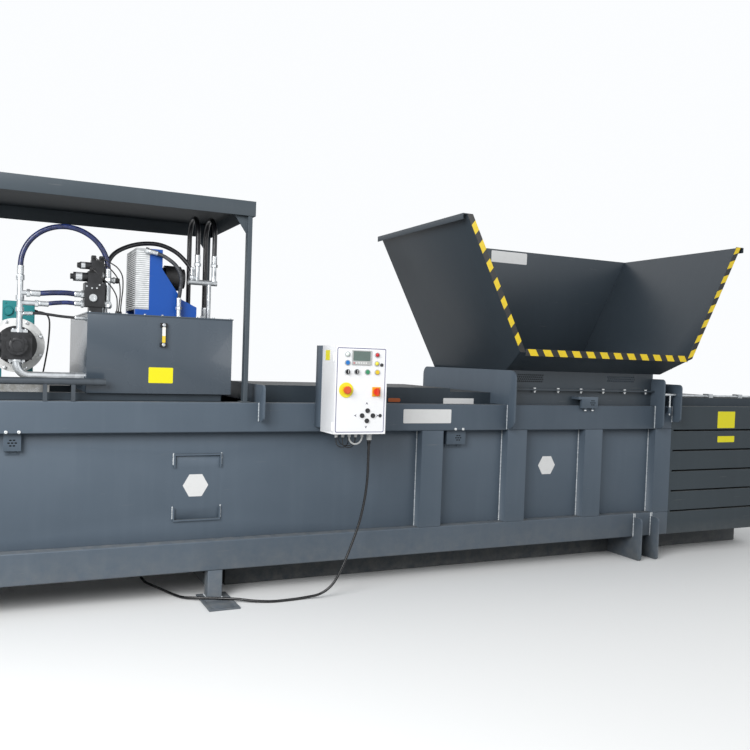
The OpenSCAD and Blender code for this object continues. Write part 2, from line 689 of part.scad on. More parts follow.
// Oil cooler: finned core and the shroud with its fan motor
cooler_x = tank_x + 315;
cooler_y = 230;
cooler_w = 410;
cooler_d = 88;
cooler_z = lid_z + 43;
cooler_h = 405;
shroud_x = cooler_x + cooler_d;
shroud_d = 84;
fan_y = cooler_y + cooler_w / 2;
fan_z = cooler_z + cooler_h / 2 + 35;
fan_r = 150;
fin_n = 26;
module cooler_core() color(zinc) {
    for (y = [cooler_y, cooler_y + cooler_w - 35])
        block([cooler_x, y, cooler_z], [shroud_x, y + 35, cooler_z + cooler_h]);
    for (z = [cooler_z, cooler_z + cooler_h - 20])
        block([cooler_x, cooler_y + 35, z], [shroud_x, cooler_y + cooler_w - 35, z + 20]);
    fin_pitch = (cooler_h - 40) / (fin_n + 1);
    for (i = [1:fin_n])
        block([cooler_x + 4, cooler_y + 35, cooler_z + 17 + i * fin_pitch],
              [shroud_x - 4, cooler_y + cooler_w - 35, cooler_z + 23 + i * fin_pitch]);
    bar_y([cooler_x + 60, cooler_y - 30, cooler_z + cooler_h - 16], 14, 30);
    bar_y([cooler_x + 60, cooler_y + cooler_w, cooler_z + cooler_h - 16], 14, 30);
}
module shroud_side(y) along_y(y, 4) translate([shroud_x, cooler_z]) polygon([
    [0, 0], [320, 0], [320, 32], [217, 80], [shroud_d, 275], [shroud_d, cooler_h], [0, cooler_h]]);
module cooler_shroud() {
    color([0.02, 0.25, 0.75]) difference() {
        union() {
            for (y = [cooler_y, cooler_y + cooler_w - 4]) shroud_side(y);
            block([shroud_x, cooler_y, cooler_z + cooler_h - 4],
                  [shroud_x + shroud_d, cooler_y + cooler_w, cooler_z + cooler_h]);
            block([shroud_x + shroud_d - 4, cooler_y, cooler_z],
                  [shroud_x + shroud_d, cooler_y + cooler_w, cooler_z + cooler_h]);
            block([cooler_x, cooler_y, lid_z], [shroud_x + 320, cooler_y + 40, cooler_z]);
            block([cooler_x, cooler_y + cooler_w - 40, lid_z],
                  [shroud_x + 320, cooler_y + cooler_w, cooler_z]);
        }
        bar_x([shroud_x + shroud_d - 5, fan_y, fan_z], fan_r + 8, 6);
    }
    color(black) {
        for (r = [60:24:156]) bar_x([shroud_x + shroud_d, fan_y, fan_z], r, 5, r - 5);
        for (a = [0:45:315]) translate([shroud_x + shroud_d, fan_y, fan_z]) rotate([a, 0, 0])
            block([0, 55, -3], [8, fan_r + 20, 3]);
        bar_x([shroud_x + shroud_d, fan_y, fan_z], 68, 186, shaft_r / 2 + 0.05);
        bar_x([shroud_x + shroud_d + 50, fan_y, fan_z], 85, 110);
    }
}
module cooler_fan() color(black) {
    bar_x([shroud_x + 24, fan_y, fan_z], 38, 40);
    bar_x([shroud_x + 60, fan_y, fan_z], shaft_r / 2, 60);
    for (a = [0:60:300]) translate([shroud_x + 44, fan_y, fan_z]) rotate([a, 0, 0])
        rotate([0, 35, 0]) block([-2, 30, -28], [2, fan_r - 12, 28]);
}

// Smooth route through hand-set points, and a round tube along it
function between(p, i, t) =
    let (a = p[max(i - 1, 0)], b = p[i], c = p[i + 1], d = p[min(i + 2, len(p) - 1)])
    0.5 * (2 * b + (c - a) * t + (2 * a - 5 * b + 4 * c - d) * t * t
           + (3 * b - a - 3 * c + d) * t * t * t);
function route(p, n) = concat([for (i = [0:len(p) - 2], k = [0:n - 1]) between(p, i, k / n)],
                              [p[len(p) - 1]]);
function unit(v) = v / norm(v);
function tangents(q) = [for (i = [0:len(q) - 1]) unit(q[min(i + 1, len(q) - 1)] - q[max(i - 1, 0)])];
module tube_along(p, n, r, sides = 10) {
    q = route(p, n);
    t = tangents(q);
    first = unit(cross(t[0], [0.31, 0.87, 0.13]));
    normals = [for (i = 0, u = first; i < len(q);
                    i = i + 1, u = unit(u - (u * t[min(i, len(q) - 1)]) * t[min(i, len(q) - 1)])) u];
    rings = [for (i = [0:len(q) - 1], k = [0:sides - 1])
        let (a = 360 * k / sides) q[i] + r * (cos(a) * normals[i] + sin(a) * cross(t[i], normals[i]))];
    walls = [for (i = [0:len(q) - 2], k = [0:sides - 1])
        let (a = i * sides + k, b = i * sides + (k + 1) % sides)
        each [[a, a + sides, b], [b, a + sides, b + sides]]];
    low = [[for (k = [0:sides - 1]) k]];
    high = [[for (k = [0:sides - 1]) len(q) * sides - 1 - k]];
    polyhedron(rings, concat(walls, low, high));
}

// Hydraulic hoses between pump, manifold, cooler and tank
hose_r = 17;
arch_r = (block_x + block_w + 26 - riser_x) / 2;
arch_x = riser_x + arch_r;
arch_z = riser_top + 60;
port_x = block_x + block_w + 26;
elbow_top = block_z + block_h + 42;
cooler_hose = [[1858, 211, 2317], [1895, 207, 2308], [1965, 200, 2283], [2038, 195, 2228],
               [2070, 193, 2150], [2066, 193, 2070], [2058, 193, 2010], [2058, 193, 1985],
               [2058, 193, 1960.3]];
return_hose = [[1600, 330, 2100.3], [1600, 330, 2125], [1600, 331, 2160], [1612, 342, 2225],
               [1660, 375, 2300], [1750, 420, 2358], [1860, 448, 2392], [1975, 455, 2394],
               [2082, 446, 2352], [2158, 430, 2280], [2190, 421, 2225], [2192, 420, 2205],
               [2192, 420, 2195.3]];
left_hose = [[1138.3, 230, 1993], [1160, 230, 1993], [1190, 230, 1994], [1270, 227, 2003],
             [1350, 231, 2007], [1410, 236, 2004], [1435, 236, 2004], [1456.7, 236, 2004]];
low_hose = [[1188.3, 230, 1930], [1205, 230, 1930], [1230, 230, 1931], [1290, 229, 1940],
            [1350, 232, 1946], [1410, 236, 1944], [1435, 236, 1944], [1456.7, 236, 1944]];
drop_x = [2230, 2349];
drop_y = 420;
drop_bend = 136;
drop_low = lid_z + 400;
drop_top = canopy_top - 210;
tee_z = lid_z + 263;
module hydraulic_hoses() color(black) {
    bar_z([riser_x, riser_y, riser_top], hose_r, arch_z - riser_top);
    translate([arch_x, riser_y, arch_z]) rotate([90, 0, 0])
        rotate_extrude(angle = 180) translate([arch_r, 0]) circle(hose_r);
    bar_z([port_x, riser_y, elbow_top], hose_r, arch_z - elbow_top);
    tube_along(left_hose, 4, hose_r);
    tube_along(low_hose, 4, hose_r - 3);
    tube_along(cooler_hose, 5, hose_r - 4);
    tube_along(return_hose, 5, hose_r - 2);
    for (x = drop_x) {
        bar_z([x, drop_y, drop_low], hose_r, drop_top - drop_low);
        translate([x, drop_y + drop_bend, drop_top]) rotate([90, 0, 90])
            rotate_extrude(angle = 180) translate([drop_bend, 0]) circle(hose_r);
        bar_z([x, drop_y + 2 * drop_bend, lid_z + 45], hose_r, drop_top - lid_z - 45);
    }
}

// Hydraulic cylinder on its pin, its rod and the ram that it drives
barrel_x = mount_pin_x + 70;
barrel_r = 110;
bore_r = 90;
rod_r = 50;
piston_l = 60;
gland_l = 100;
head_l = 40;
barrel_end = barrel_x + head_l + stroke + piston_l + 10 + gland_l;
eye_w = 98;
module cylinder_barrel() color(paint_dark) {
    difference() {
        union() {
            bar_y([mount_pin_x, centre_y - eye_w / 2, axis_z], 60, eye_w);
            block([mount_pin_x, centre_y - 40, axis_z - 50], [barrel_x, centre_y + 40, axis_z + 50]);
        }
        bar_y([mount_pin_x, centre_y - eye_w, axis_z], mount_pin_r + 0.06, 2 * eye_w);
    }
    bar_x([barrel_x, centre_y, axis_z], barrel_r, head_l);
    bar_x([barrel_x + head_l, centre_y, axis_z], barrel_r, barrel_end - gland_l - barrel_x - head_l, bore_r);
    bar_x([barrel_end - gland_l, centre_y, axis_z], barrel_r + 12, gland_l, rod_r + 0.05);
    for (x = [barrel_x + 150, barrel_end - gland_l - 60]) difference() {
        bar_z([x, centre_y, axis_z + bore_r + 4], 28, 50);
        bar_z([x, centre_y, axis_z + bore_r + 20], 12, 60);
    }
}

// Ram: pressing plate with grooves for the ties, box carriage, cover plate and wear shoes
face_x = feed_x - 30;
ram_side = 3;
ram_y0 = beam_d + ram_side;
ram_y1 = channel_w - beam_d - ram_side;
ram_low = floor_z + 3;
ram_high = roof_z - 3;
bar_t = 40;
carriage_l = 1200;
cover_l = 1700;
carriage_x = face_x - carriage_l;
eye_x = face_x - 2 * bar_t - 60;
module ram() color(paint_dark) {
    block([face_x - 2 * bar_t, ram_y0, ram_low], [face_x - bar_t, ram_y1, ram_high]);
    along_y(ram_y0, ram_y1 - ram_y0) for (i = [0:slot_n])
        translate([face_x - bar_t, board_low(i, ram_low)])
            square([bar_t, board_high(i, ram_high) - board_low(i, ram_low)]);
    for (y = [ram_y0, ram_y1 - 20]) {
        block([carriage_x, y, ram_low], [face_x - 2 * bar_t, y + 20, roof_z - 15]);
        block([carriage_x, y, floor_z + gap], [face_x - 2 * bar_t, y + 20, ram_low]);
    }
    for (z = [[ram_low, ram_low + 140], [roof_z - 155, roof_z - 15]])
        block([carriage_x, ram_y0 + 20, z[0]], [carriage_x + 60, ram_y1 - 20, z[1]]);
    block([face_x - cover_l, ram_y0, roof_z - 15], [face_x - 2 * bar_t, ram_y1, roof_z - 5]);
    for (s = [-1, 1]) translate([0, centre_y + s * (eye_w + lug_t) / 2 - lug_t / 2, 0])
        block([eye_x - 45, 0, axis_z - 60], [face_x - 2 * bar_t, lug_t, axis_z + 60]);
    bar_y([eye_x, centre_y - eye_w / 2, axis_z], rod_pin_r, eye_w);
}
rod_pin_r = 25;
module piston_rod() color(zinc) {
    bar_y([eye_x, centre_y - eye_w / 2 + 1, axis_z], 50, eye_w - 2, rod_pin_r + 0.05);
    bar_x([barrel_x + head_l + 5, centre_y, axis_z], rod_r, eye_x - 46 - barrel_x - head_l - 5);
    bar_x([barrel_x + head_l + 5, centre_y, axis_z], bore_r - 0.06, piston_l);
}

// Bale door on lift-off hinges, with the same slots as the walls, and its locking handwheel
door_gap = 10;
door_d = 80;
stile_w = 100;
door_x = chamber_end + door_gap;
wheel_y = stile_w / 2;
wheel_z = axis_z + 10;
spindle_r = 18;
wheel_r = 138;
rim_r = 12;
module bale_door() color(paint_dark) {
    difference() {
        for (y = [0, channel_w - stile_w]) translate([door_x, y, skid_h + 5])
            linear_extrude(channel_h - 10) tube_section(door_d, stile_w, board_t, 4);
        bar_x([door_x - 1, wheel_y, wheel_z], spindle_r + 0.05, door_d + 2);
    }
    along_y(stile_w, channel_w - 2 * stile_w) translate([door_x, 0])
        boards(door_d, skid_h + 5, deck_z - 5);
    for (z = knuckle_z) difference() {
        union() {
            bar_z([hinge_x, hinge_y, z + knuckle_h], hinge_r, knuckle_h + 10);
            block([hinge_x - 14, channel_w, z + knuckle_h],
                  [hinge_x + 14, hinge_y, z + 2 * knuckle_h + 10]);
        }
        bar_z([hinge_x, hinge_y, z + knuckle_h - 1], hinge_pin_r + 0.08, knuckle_h + 12);
    }
}
module door_wheel() color(black) {
    bar_x([door_x + 4, wheel_y, wheel_z], spindle_r, door_d + 70);
    bar_x([door_x + door_d + 2, wheel_y, wheel_z], 32, 60);
    translate([door_x + door_d + 88, wheel_y, wheel_z]) rotate([0, 90, 0])
        rotate_extrude() translate([wheel_r, 0]) circle(rim_r);
    for (a = [0:90:270]) translate([door_x + door_d + 62, wheel_y, wheel_z]) rotate([a, 0, 0])
        translate([-8, 0, 0]) rotate([0, 10, 0]) cylinder(r = 9, h = wheel_r);
}

// Bracket and enclosure of the control box, seen from the operator's side
box_x = 2992;
box_z = 1140;
box_t = 3;
box_back = -bracket_d;
box_front = box_back - box_d;
face_y = box_front - door_t;
module control_bracket() difference() {
    block([box_x - 3, box_back, box_z + 25], [box_x + 238, 0, box_z + box_h - 2]);
    block([box_x + 1, box_back + 4, box_z + 24], [box_x + 234, 1, box_z + box_h - 6]);
}
box_hinge_x = box_x - 4;
box_hinge_r = 4;
box_pin_r = 2;
leaf_h = 30;
box_hinge_z = [box_z + 50, box_z + box_h - 80];
module control_box() color("white") {
    difference() {
        block([box_x, box_front, box_z], [box_x + box_w, box_back, box_z + box_h]);
        block([box_x + box_t, box_front - 1, box_z + box_t],
              [box_x + box_w - box_t, box_back - box_t, box_z + box_h - box_t]);
    }
    block([box_x + box_w - box_t - 12, box_front, box_z + box_t + gap],
          [box_x + box_w - box_t - gap, box_front + 2, box_z + box_h - box_t - gap]);
    for (z = box_hinge_z) {
        bar_z([box_hinge_x, box_front, z - leaf_h], box_hinge_r, leaf_h);
        bar_z([box_hinge_x, box_front, z], box_pin_r, leaf_h);
        block([box_hinge_x - 2, box_front, z - leaf_h], [box_x + 1, box_front + 6, z]);
    }
}

// Mounting plate inside the box with rows of switchgear and wiring ducts
module control_gear() color([0.75, 0.76, 0.74]) {
    block([box_x + 30, box_back - box_t - 15, box_z + 30],
          [box_x + box_w - 30, box_back - box_t - 12, box_z + box_h - 30]);
    for (x = [box_x + 50, box_x + box_w - 62], z = [box_z + 50, box_z + box_h - 62])
        bar_y([x + 6, box_back - box_t - 12, z + 6], 6, 12);
    for (z = [70, 250, 430]) {
        block([box_x + 40, box_back - 60, box_z + z - 35],
              [box_x + box_w - 40, box_back - 18, box_z + z - 10]);
        for (i = [0:5]) block([box_x + 52 + i * 48, box_back - 88, box_z + z],
                              [box_x + 92 + i * 48, box_back - 18, box_z + z + 85]);
    }
}

// Door of the control box, hinged on its near edge, with holes for what it carries
button_r = 14;
sleeve_r = 16;
lamps = [[85, 538], [305, 539], [304, 480]];
buttons = [[86, 482], [235, 422], [308, 422]];
selectors = [[88, 420], [155, 422]];
arrows = [[246, 160], [206, 126], [287, 126], [243, 91]];
stop_at = [82, 298];
isolator_at = [306, 289];
locks = [[342, 472], [342, 126]];
display_at = [118, 469];
display_size = [143, 98];
function on_door(d, out = 0) = [box_x + d[0], face_y - out, box_z + d[1]];
module box_door() color("white") difference() {
    union() {
        difference() {
            block([box_x, face_y, box_z], [box_x + box_w, box_front, box_z + box_h]);
            block([box_x + 2, face_y + 2, box_z + 2],
                  [box_x + box_w - 2, box_front + 1, box_z + box_h - 2]);
        }
        for (z = box_hinge_z) difference() {
            union() {
                bar_z([box_hinge_x, box_front, z], box_hinge_r, leaf_h);
                block([box_hinge_x, box_front - box_hinge_r, z], [box_x + 1, box_front, z + leaf_h]);
            }
            bar_z([box_hinge_x, box_front, z - 1], box_pin_r + 0.06, leaf_h + 2);
        }
    }
    for (d = concat(buttons, selectors, arrows, lamps, [stop_at, isolator_at]))
        bar_y(on_door(d, 1), sleeve_r + 0.05, door_t);
    for (d = locks) bar_y(on_door(d, 1), lock_r + 0.05, door_t);
}

// What is fixed in the door: rings and sleeves of the buttons, display, lamps and switch plates
module holder(d, bore, w = 19, back = 40) {
    bar_y(on_door(d, 6), w, 6, bore);
    bar_y(on_door(d), sleeve_r, 16, bore);
    bar_y(on_door(d, -16), sleeve_r, back);
}
module control_panel() color(black) {
    for (d = concat(buttons, selectors)) holder(d, button_r + 0.08);
    for (d = arrows) holder(d, arrow_r + 0.08, 16);
    for (d = lamps) {
        bar_y(on_door(d, 6), 18, 6);
        bar_y(on_door(d), sleeve_r, 40);
        translate(on_door(d, 6)) sphere(13);
    }
    holder(stop_at, stem_r + 0.08, 51);
    holder(isolator_at, stem_r + 0.08, 22);
    difference() {
        block(on_door([isolator_at[0] - 30, isolator_at[1] - 32], 6),
              on_door([isolator_at[0] + 30, isolator_at[1] + 32]));
        bar_y(on_door(isolator_at, 7), 21, 8);
    }
    difference() {
        block(on_door(display_at, 8), on_door(display_at + display_size));
        block(on_door(display_at + [8, 26], 9), on_door(display_at + display_size - [8, 6], 6));
    }
}

// Push buttons, selectors, stop button and isolator handle
arrow_r = 12;
stem_r = 11;
lock_r = 9;
lock_reach = 34;
press = 4;
module push_button(d, r) {
    bar_y(on_door(d, 6 + press + 1), r, 6 + press + 1 + 11);
}
module blue_button() color("blue") push_button(buttons[0], button_r);
module green_button() color("green") push_button(buttons[1], button_r);
module yellow_button() color("gold") push_button(buttons[2], button_r);
module arrow_up() color("white") push_button(arrows[0], arrow_r);
module arrow_left() color("white") push_button(arrows[1], arrow_r);
module arrow_right() color("white") push_button(arrows[2], arrow_r);
module arrow_down() color("white") push_button(arrows[3], arrow_r);
module selector(d) {
    bar_y(on_door(d, 12), button_r, 24);
    translate(on_door(d, 22)) block([-5, 0, -button_r + 2], [5, 11, button_r + 3]);
}
module left_selector() color(black) selector(selectors[0]);
module right_selector() color(black) selector(selectors[1]);
module emergency_stop() color("red") {
    bar_y(on_door(stop_at, 26), stem_r, 34);
    bar_y(on_door(stop_at, 40), 21, 14);
    bar_y(on_door(stop_at, 34), 26, 18);
}
module isolator_knob() color("red") {
    bar_y(on_door(isolator_at, 14), stem_r, 24);
    bar_y(on_door(isolator_at, 18), 24, 10);
    translate(on_door(isolator_at, 34)) block([-7, 0, -26], [7, 17, 26]);
}
module door_lock(d) {
    bar_y(on_door(d, 3), lock_r + 3, 3);
    bar_y(on_door(d), lock_r, door_t + 4);
    translate(on_door(d, -door_t - 4)) block([-7, 0, -lock_reach], [7, 3, 7]);
}
module upper_lock() color(zinc) door_lock(locks[0]);
module lower_lock() color(zinc) door_lock(locks[1]);

// Cable glands under the box with a looped sensor lead, and the gland under the floor plate
gland_x0 = box_x + 64;
gland_pitch = 48;
gland_y = -241;
main_gland = [box_x + 311, gland_y, box_z - 50];
belly_gland = [1890, 585, floor_z - floor_t - 30];
module gland(p, r, h) {
    bar_z(p, r, h - 12);
    translate(p + [0, 0, h - 12]) cylinder(r = r + 4, h = 12, $fn = 6);
}
loop_r = gland_pitch;
module cable_glands() color(black) {
    for (i = [0:4]) gland([gland_x0 + i * gland_pitch, gland_y, box_z - 30], 11, 30);
    gland(main_gland, 18, 50);
    gland(belly_gland, 18, 30);
    translate([gland_x0 + 3 * gland_pitch, gland_y, box_z - 30]) rotate([90, 0, 0])
        rotate_extrude(angle = -180) translate([loop_r, 0]) circle(6);
}

// Folded covers over the position sensors
sensor_boxes = [[995, 45, 1016, 100, 110], [4094, 40, 1015, 167, 111], [5290, 20, 1305, 203, 94]];
module sensor_covers() {
    for (s = [0, 1]) let (b = sensor_boxes[s]) {
        block([b[0], b[1], b[2]], [b[0] + b[3], side_y, b[2] + b[4]]);
        for (x = [b[0] + 0.3 * b[3], b[0] + 0.7 * b[3]])
            bar_y([x, side_y - 12, b[2] - 14], 7, 12);
        block([b[0] + 10, side_y - 4, b[2] - 28], [b[0] + b[3] - 10, side_y, b[2]]);
    }
    let (b = sensor_boxes[2]) {
        block([b[0] + 40, -30, b[2]], [b[0] + b[3], 0, b[2] + b[4]]);
        block([b[0], -30, b[2] + b[4] - 22], [b[0] + b[3], neck_in, b[2] + b[4]]);
        for (x = [b[0] + 85, b[0] + 160]) bar_z([x, -16, b[2] - 14], 9, 14);
    }
}

// Bracket and covers, folded from sheet and fixed on the front
module front_brackets() color(paint) {
    control_bracket();
    sensor_covers();
}

// Clamp screw with a T handle in its boss
module clamp_screw() color(zinc) {
    bar_z([clamp_x, clamp_y, clamp_z - 70], clamp_r, 175);
    bar_z([clamp_x, clamp_y, clamp_z], 13, 12);
    bar_x([clamp_x - 63, clamp_y, clamp_z + 108], 10, 126);
}

// Power cable from the box, down to the floor and under the machine to its gland
cable_r = 9;
cable_route = [[3303, -241, 1089.7], [3303, -241, 1050], [3303, -241, 960], [3301, -241, 820],
               [3286, -241, 680],
               [3252, -241, 520], [3196, -241, 360], [3135, -240, 215], [3072, -232, 100],
               [2990, -214, 34], [2880, -198, 13], [2760, -205, 10], [2640, -200, 10],
               [2530, -160, 13], [2440, -115, 20], [2350, -68, 20], [2265, -30, 20],
               [2185, 10, 18], [2110, 75, 11.5], [2060, 180, 10.2], [2020, 300, 10.2], [1975, 420, 11.5],
               [1930, 510, 24], [1900, 565, 80], [1890, 585, 160],
               [1890, 585, 215], [1890, 585, 249.7]];
module power_cable() color(black) tube_along(cable_route, 3, cable_r, 8);

// Moves the machine so that its footprint is centred on the origin
reach_y = bracket_d + box_d + door_t + 40;
end_x = door_x + door_d + 88 + rim_r;
module place() translate([-end_x / 2, (reach_y - channel_w - base_reach) / 2, 0]) children();

place() base_frame();
place() skids();
place() floor_plate();
place() side_beams();
place() side_plates();
place() cylinder_mount();
place() transverse_plates();
place() feet();
place() chamber_walls();
place() chamber_roof();
place() ram_roof();
place() neck_panels();
place() flange_bolts();
place() hopper_left_wall();
place() hopper_right_wall();
place() hopper_back_wall();
place() hopper_front_wall();
place() canopy_roof();
place() canopy_posts();
place() pack_frame();
place() drip_tray();
place() oil_tank();
place() tank_lid();
place() level_gauge();
place() valve_block();
place() pump_motor();
place() bell_housing();
place() oil_pump();
place() steel_pipes();
place() hydraulic_hoses();
place() cooler_core();
place() cooler_shroud();
place() cylinder_barrel();
place() front_brackets();
place() control_box();
place() control_gear();
place() cable_glands();
place() power_cable();
place() ram();
place() piston_rod();
place() bale_door();
place() door_wheel();
place() box_door();
place() control_panel();
place() blue_button();
place() green_button();
place() yellow_button();
place() arrow_up();
place() arrow_left();
place() arrow_right();
place() arrow_down();
place() left_selector();
place() right_selector();
place() emergency_stop();
place() isolator_knob();
place() upper_lock();
place() lower_lock();
place() cooler_fan();
place() clamp_screw();
place() drive_coupling();
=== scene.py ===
# Channel baler with a top hopper, a power pack under a canopy and a control box on its side.
# Places are given in millimetres from the left end of the front beams, with the floor at zero height.
import math

import bmesh
import bpy
from mathutils import Matrix, Vector


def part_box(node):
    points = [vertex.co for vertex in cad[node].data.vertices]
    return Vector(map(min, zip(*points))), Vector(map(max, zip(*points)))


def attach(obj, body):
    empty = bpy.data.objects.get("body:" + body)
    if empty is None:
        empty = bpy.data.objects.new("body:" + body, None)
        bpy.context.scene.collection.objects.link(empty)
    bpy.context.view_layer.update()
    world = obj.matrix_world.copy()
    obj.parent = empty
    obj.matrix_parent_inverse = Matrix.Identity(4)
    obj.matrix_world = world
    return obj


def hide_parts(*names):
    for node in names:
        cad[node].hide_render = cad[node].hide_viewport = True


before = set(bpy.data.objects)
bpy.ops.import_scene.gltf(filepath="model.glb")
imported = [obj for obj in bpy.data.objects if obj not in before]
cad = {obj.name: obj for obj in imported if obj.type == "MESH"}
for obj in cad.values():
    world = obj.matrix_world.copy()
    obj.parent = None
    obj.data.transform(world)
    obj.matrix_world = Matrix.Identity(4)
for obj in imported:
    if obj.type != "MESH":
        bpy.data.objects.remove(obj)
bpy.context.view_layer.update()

# Camera: held at head height in front of the power pack and turned towards the hopper. Its lens
# covers 49 degrees and its picture is square.
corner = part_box("side_beams")[0]
machine = Matrix.Translation((corner.x, corner.y, 0)) @ Matrix.Scale(0.001, 4)


def shown(name, data):
    """Puts a new object into the scene."""
    made = bpy.data.objects.new(name, data)
    bpy.context.scene.collection.objects.link(made)
    return made


lens = bpy.data.cameras.new("lens")
lens.sensor_width = 36
lens.lens = 39.25
lens.shift_y = 0.01396
lens.clip_start = 0.1
lens.clip_end = 200
viewer = shown("viewer", lens)
viewer.location = machine @ Vector((900, -5370, 1650))
viewer.rotation_euler = [math.radians(a) for a in (88.16548, -1.94706, -25.3426)]
bpy.context.scene.camera = viewer


# Power cable: one 18 mm rubber-sheathed cable from the box's main gland, down its own weight to
# the floor, under the lower beam and up into the gland below the floor plate.
def smooth_route(points, steps=8):
    """A Catmull-Rom line through the points, with so many steps between each two."""
    spots = [Vector(p) for p in points]
    line = []
    for i in range(len(spots) - 1):
        a, b = spots[max(i - 1, 0)], spots[i]
        c, d = spots[i + 1], spots[min(i + 2, len(spots) - 1)]
        for k in range(steps):
            t = k / steps
            line.append(0.5 * (2 * b + (c - a) * t + (2 * a - 5 * b + 4 * c - d) * t * t
                               + (3 * b - a - 3 * c + d) * t ** 3))
    return line + [spots[-1]]


def creased(mesh, angle):
    """Shades a mesh smooth, apart from the edges where it turns more than an angle."""
    mesh.shade_smooth()
    mesh.set_sharp_from_angle(angle=math.radians(angle))


def swept_tube(name, line, radius, sides):
    """A closed round tube along a line, with a UV map that runs round it and along it in metres."""
    ways = [(line[min(i + 1, len(line) - 1)] - line[max(i - 1, 0)]).normalized()
            for i in range(len(line))]
    across = ways[0].cross(Vector((0.31, 0.87, 0.13))).normalized()
    corners, along, run = [], [], 0.0
    for i, spot in enumerate(line):
        if i:
            run += (spot - line[i - 1]).length
        across = (across - across.dot(ways[i]) * ways[i]).normalized()
        beside = ways[i].cross(across)
        for k in range(sides):
            a = 2 * math.pi * k / sides
            corners.append(machine @ (spot + radius * (math.cos(a) * across + math.sin(a) * beside)))
        along.append(run / 1000)
    faces = []
    for i in range(len(line) - 1):
        for k in range(sides):
            a, b = i * sides + k, i * sides + (k + 1) % sides
            faces.append((a, b, b + sides, a + sides))
    faces.append(tuple(reversed(range(sides))))
    faces.append(tuple(range((len(line) - 1) * sides, len(line) * sides)))
    mesh = bpy.data.meshes.new(name)
    mesh.from_pydata(corners, [], faces)
    chart = mesh.uv_layers.new(name="along")
    for face in mesh.polygons:
        turn_ends = {v % sides for v in face.vertices} >= {0, sides - 1}
        for loop in face.loop_indices:
            v = mesh.loops[loop].vertex_index
            k = v % sides
            u = (sides if turn_ends and k == 0 and len(face.vertices) == 4 else k) / sides
            chart.data[loop].uv = (u, along[v // sides])
    creased(mesh, 50)
    return shown(name, mesh)


def laid_cord(name, line, radius, finish, skin_gap, sides):
    """Lays a cord along a line, and draws its skin a little inside its real thickness."""
    cord = swept_tube(name, line, radius - skin_gap, sides)
    cord.data.materials.append(finish)
    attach(cord, "base")
    return cord


upwards, downwards = Vector((0, 0, 1)), Vector((0, 0, -1))
leftwards, rightwards, forwards = Vector((-1, 0, 0)), Vector((1, 0, 0)), Vector((0, -1, 0))


def turning(start, way, profile, sides):
    """The rings of a turned shape: profile holds (distance along the axis, radius) pairs."""
    across = way.orthogonal().normalized()
    beside = way.cross(across)
    spokes = [math.cos(2 * math.pi * k / sides) * across + math.sin(2 * math.pi * k / sides) * beside
              for k in range(sides)]
    return [[Vector(start) + way * along + radius * spoke for spoke in spokes]
            for along, radius in profile]


def piece(name, body, slot, finish, *solids, hollow=False):
    """Skins solids over their rings of points in millimetres, as one named piece of a body."""
    form = bmesh.new()
    for solid in solids:
        rings = [[form.verts.new(p) for p in ring] for ring in solid]
        if hollow:
            rings.append(rings[0])
        else:
            form.faces.new(rings[0][::-1])
            form.faces.new(rings[-1])
        for low, high in zip(rings, rings[1:]):
            for k in range(len(low)):
                n = (k + 1) % len(low)
                form.faces.new((low[k], low[n], high[n], high[k]))
    bmesh.ops.recalc_face_normals(form, faces=form.faces)
    form.transform(machine)
    mesh = bpy.data.meshes.new(name)
    form.to_mesh(mesh)
    form.free()
    mesh.materials.append(finish)
    creased(mesh, 32)
    shape = shown(name, mesh)
    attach(shape, body)
    return shape


def linear(code):
    """A colour written as six hex digits, in the renderer's linear values."""
    parts = [int(code[i:i + 2], 16) / 255 for i in (0, 2, 4)]
    return [c / 12.92 if c <= 0.04045 else ((c + 0.055) / 1.055) ** 2.4 for c in parts] + [1.0]


def add(tree, kind, values=None, **settings):
    """Adds a node; each value is either linked, when it is a socket, or set."""
    made = tree.nodes.new(kind)
    for key, value in settings.items():
        setattr(made, key, value)
    for key, value in (values or {}).items():
        if isinstance(value, bpy.types.NodeSocket):
            tree.links.new(value, made.inputs[key])
        else:
            made.inputs[key].default_value = value
    return made


def blend(tree, share, a, b):
    """The colour between a and b."""
    return add(tree, "ShaderNodeMix", {0: share, 6: a, 7: b}, data_type="RGBA").outputs[2]


def remap(tree, value, low, high, to_low=0.0, to_high=1.0):
    """A value carried from one range to another, and kept inside it."""
    return add(tree, "ShaderNodeMapRange", {"Value": value, "From Min": low, "From Max": high,
                                            "To Min": to_low, "To Max": to_high}).outputs[0]


def maths(tree, operation, a, b=0.0):
    """One step of arithmetic with two values."""
    return add(tree, "ShaderNodeMath", {0: a, 1: b}, operation=operation).outputs[0]


def times(tree, a, b):
    """The product of two values."""
    return maths(tree, "MULTIPLY", a, b)


def part_of(tree, vector, axis):
    """One part of a vector."""
    return add(tree, "ShaderNodeSeparateXYZ", {"Vector": vector}).outputs[axis]


def place_in(tree):
    """The place on the machine, in metres."""
    return add(tree, "ShaderNodeTexCoord").outputs["Object"]


def noise(tree, place, scale, detail=2.0, roughness=0.5):
    """A cloudy pattern."""
    return add(tree, "ShaderNodeTexNoise", {"Vector": place, "Scale": scale, "Detail": detail,
                                            "Roughness": roughness}).outputs["Fac"]


def stretched(tree, place, scale, turn=(0.0, 0.0, 0.0)):
    """A place on turned and stretched axes."""
    return add(tree, "ShaderNodeMapping", {"Vector": place, "Rotation": turn,
                                           "Scale": scale}).outputs[0]


def colour_or_number(entry):
    """A colour from its six hex digits, or a number as it is."""
    return linear(entry) if isinstance(entry, str) else entry


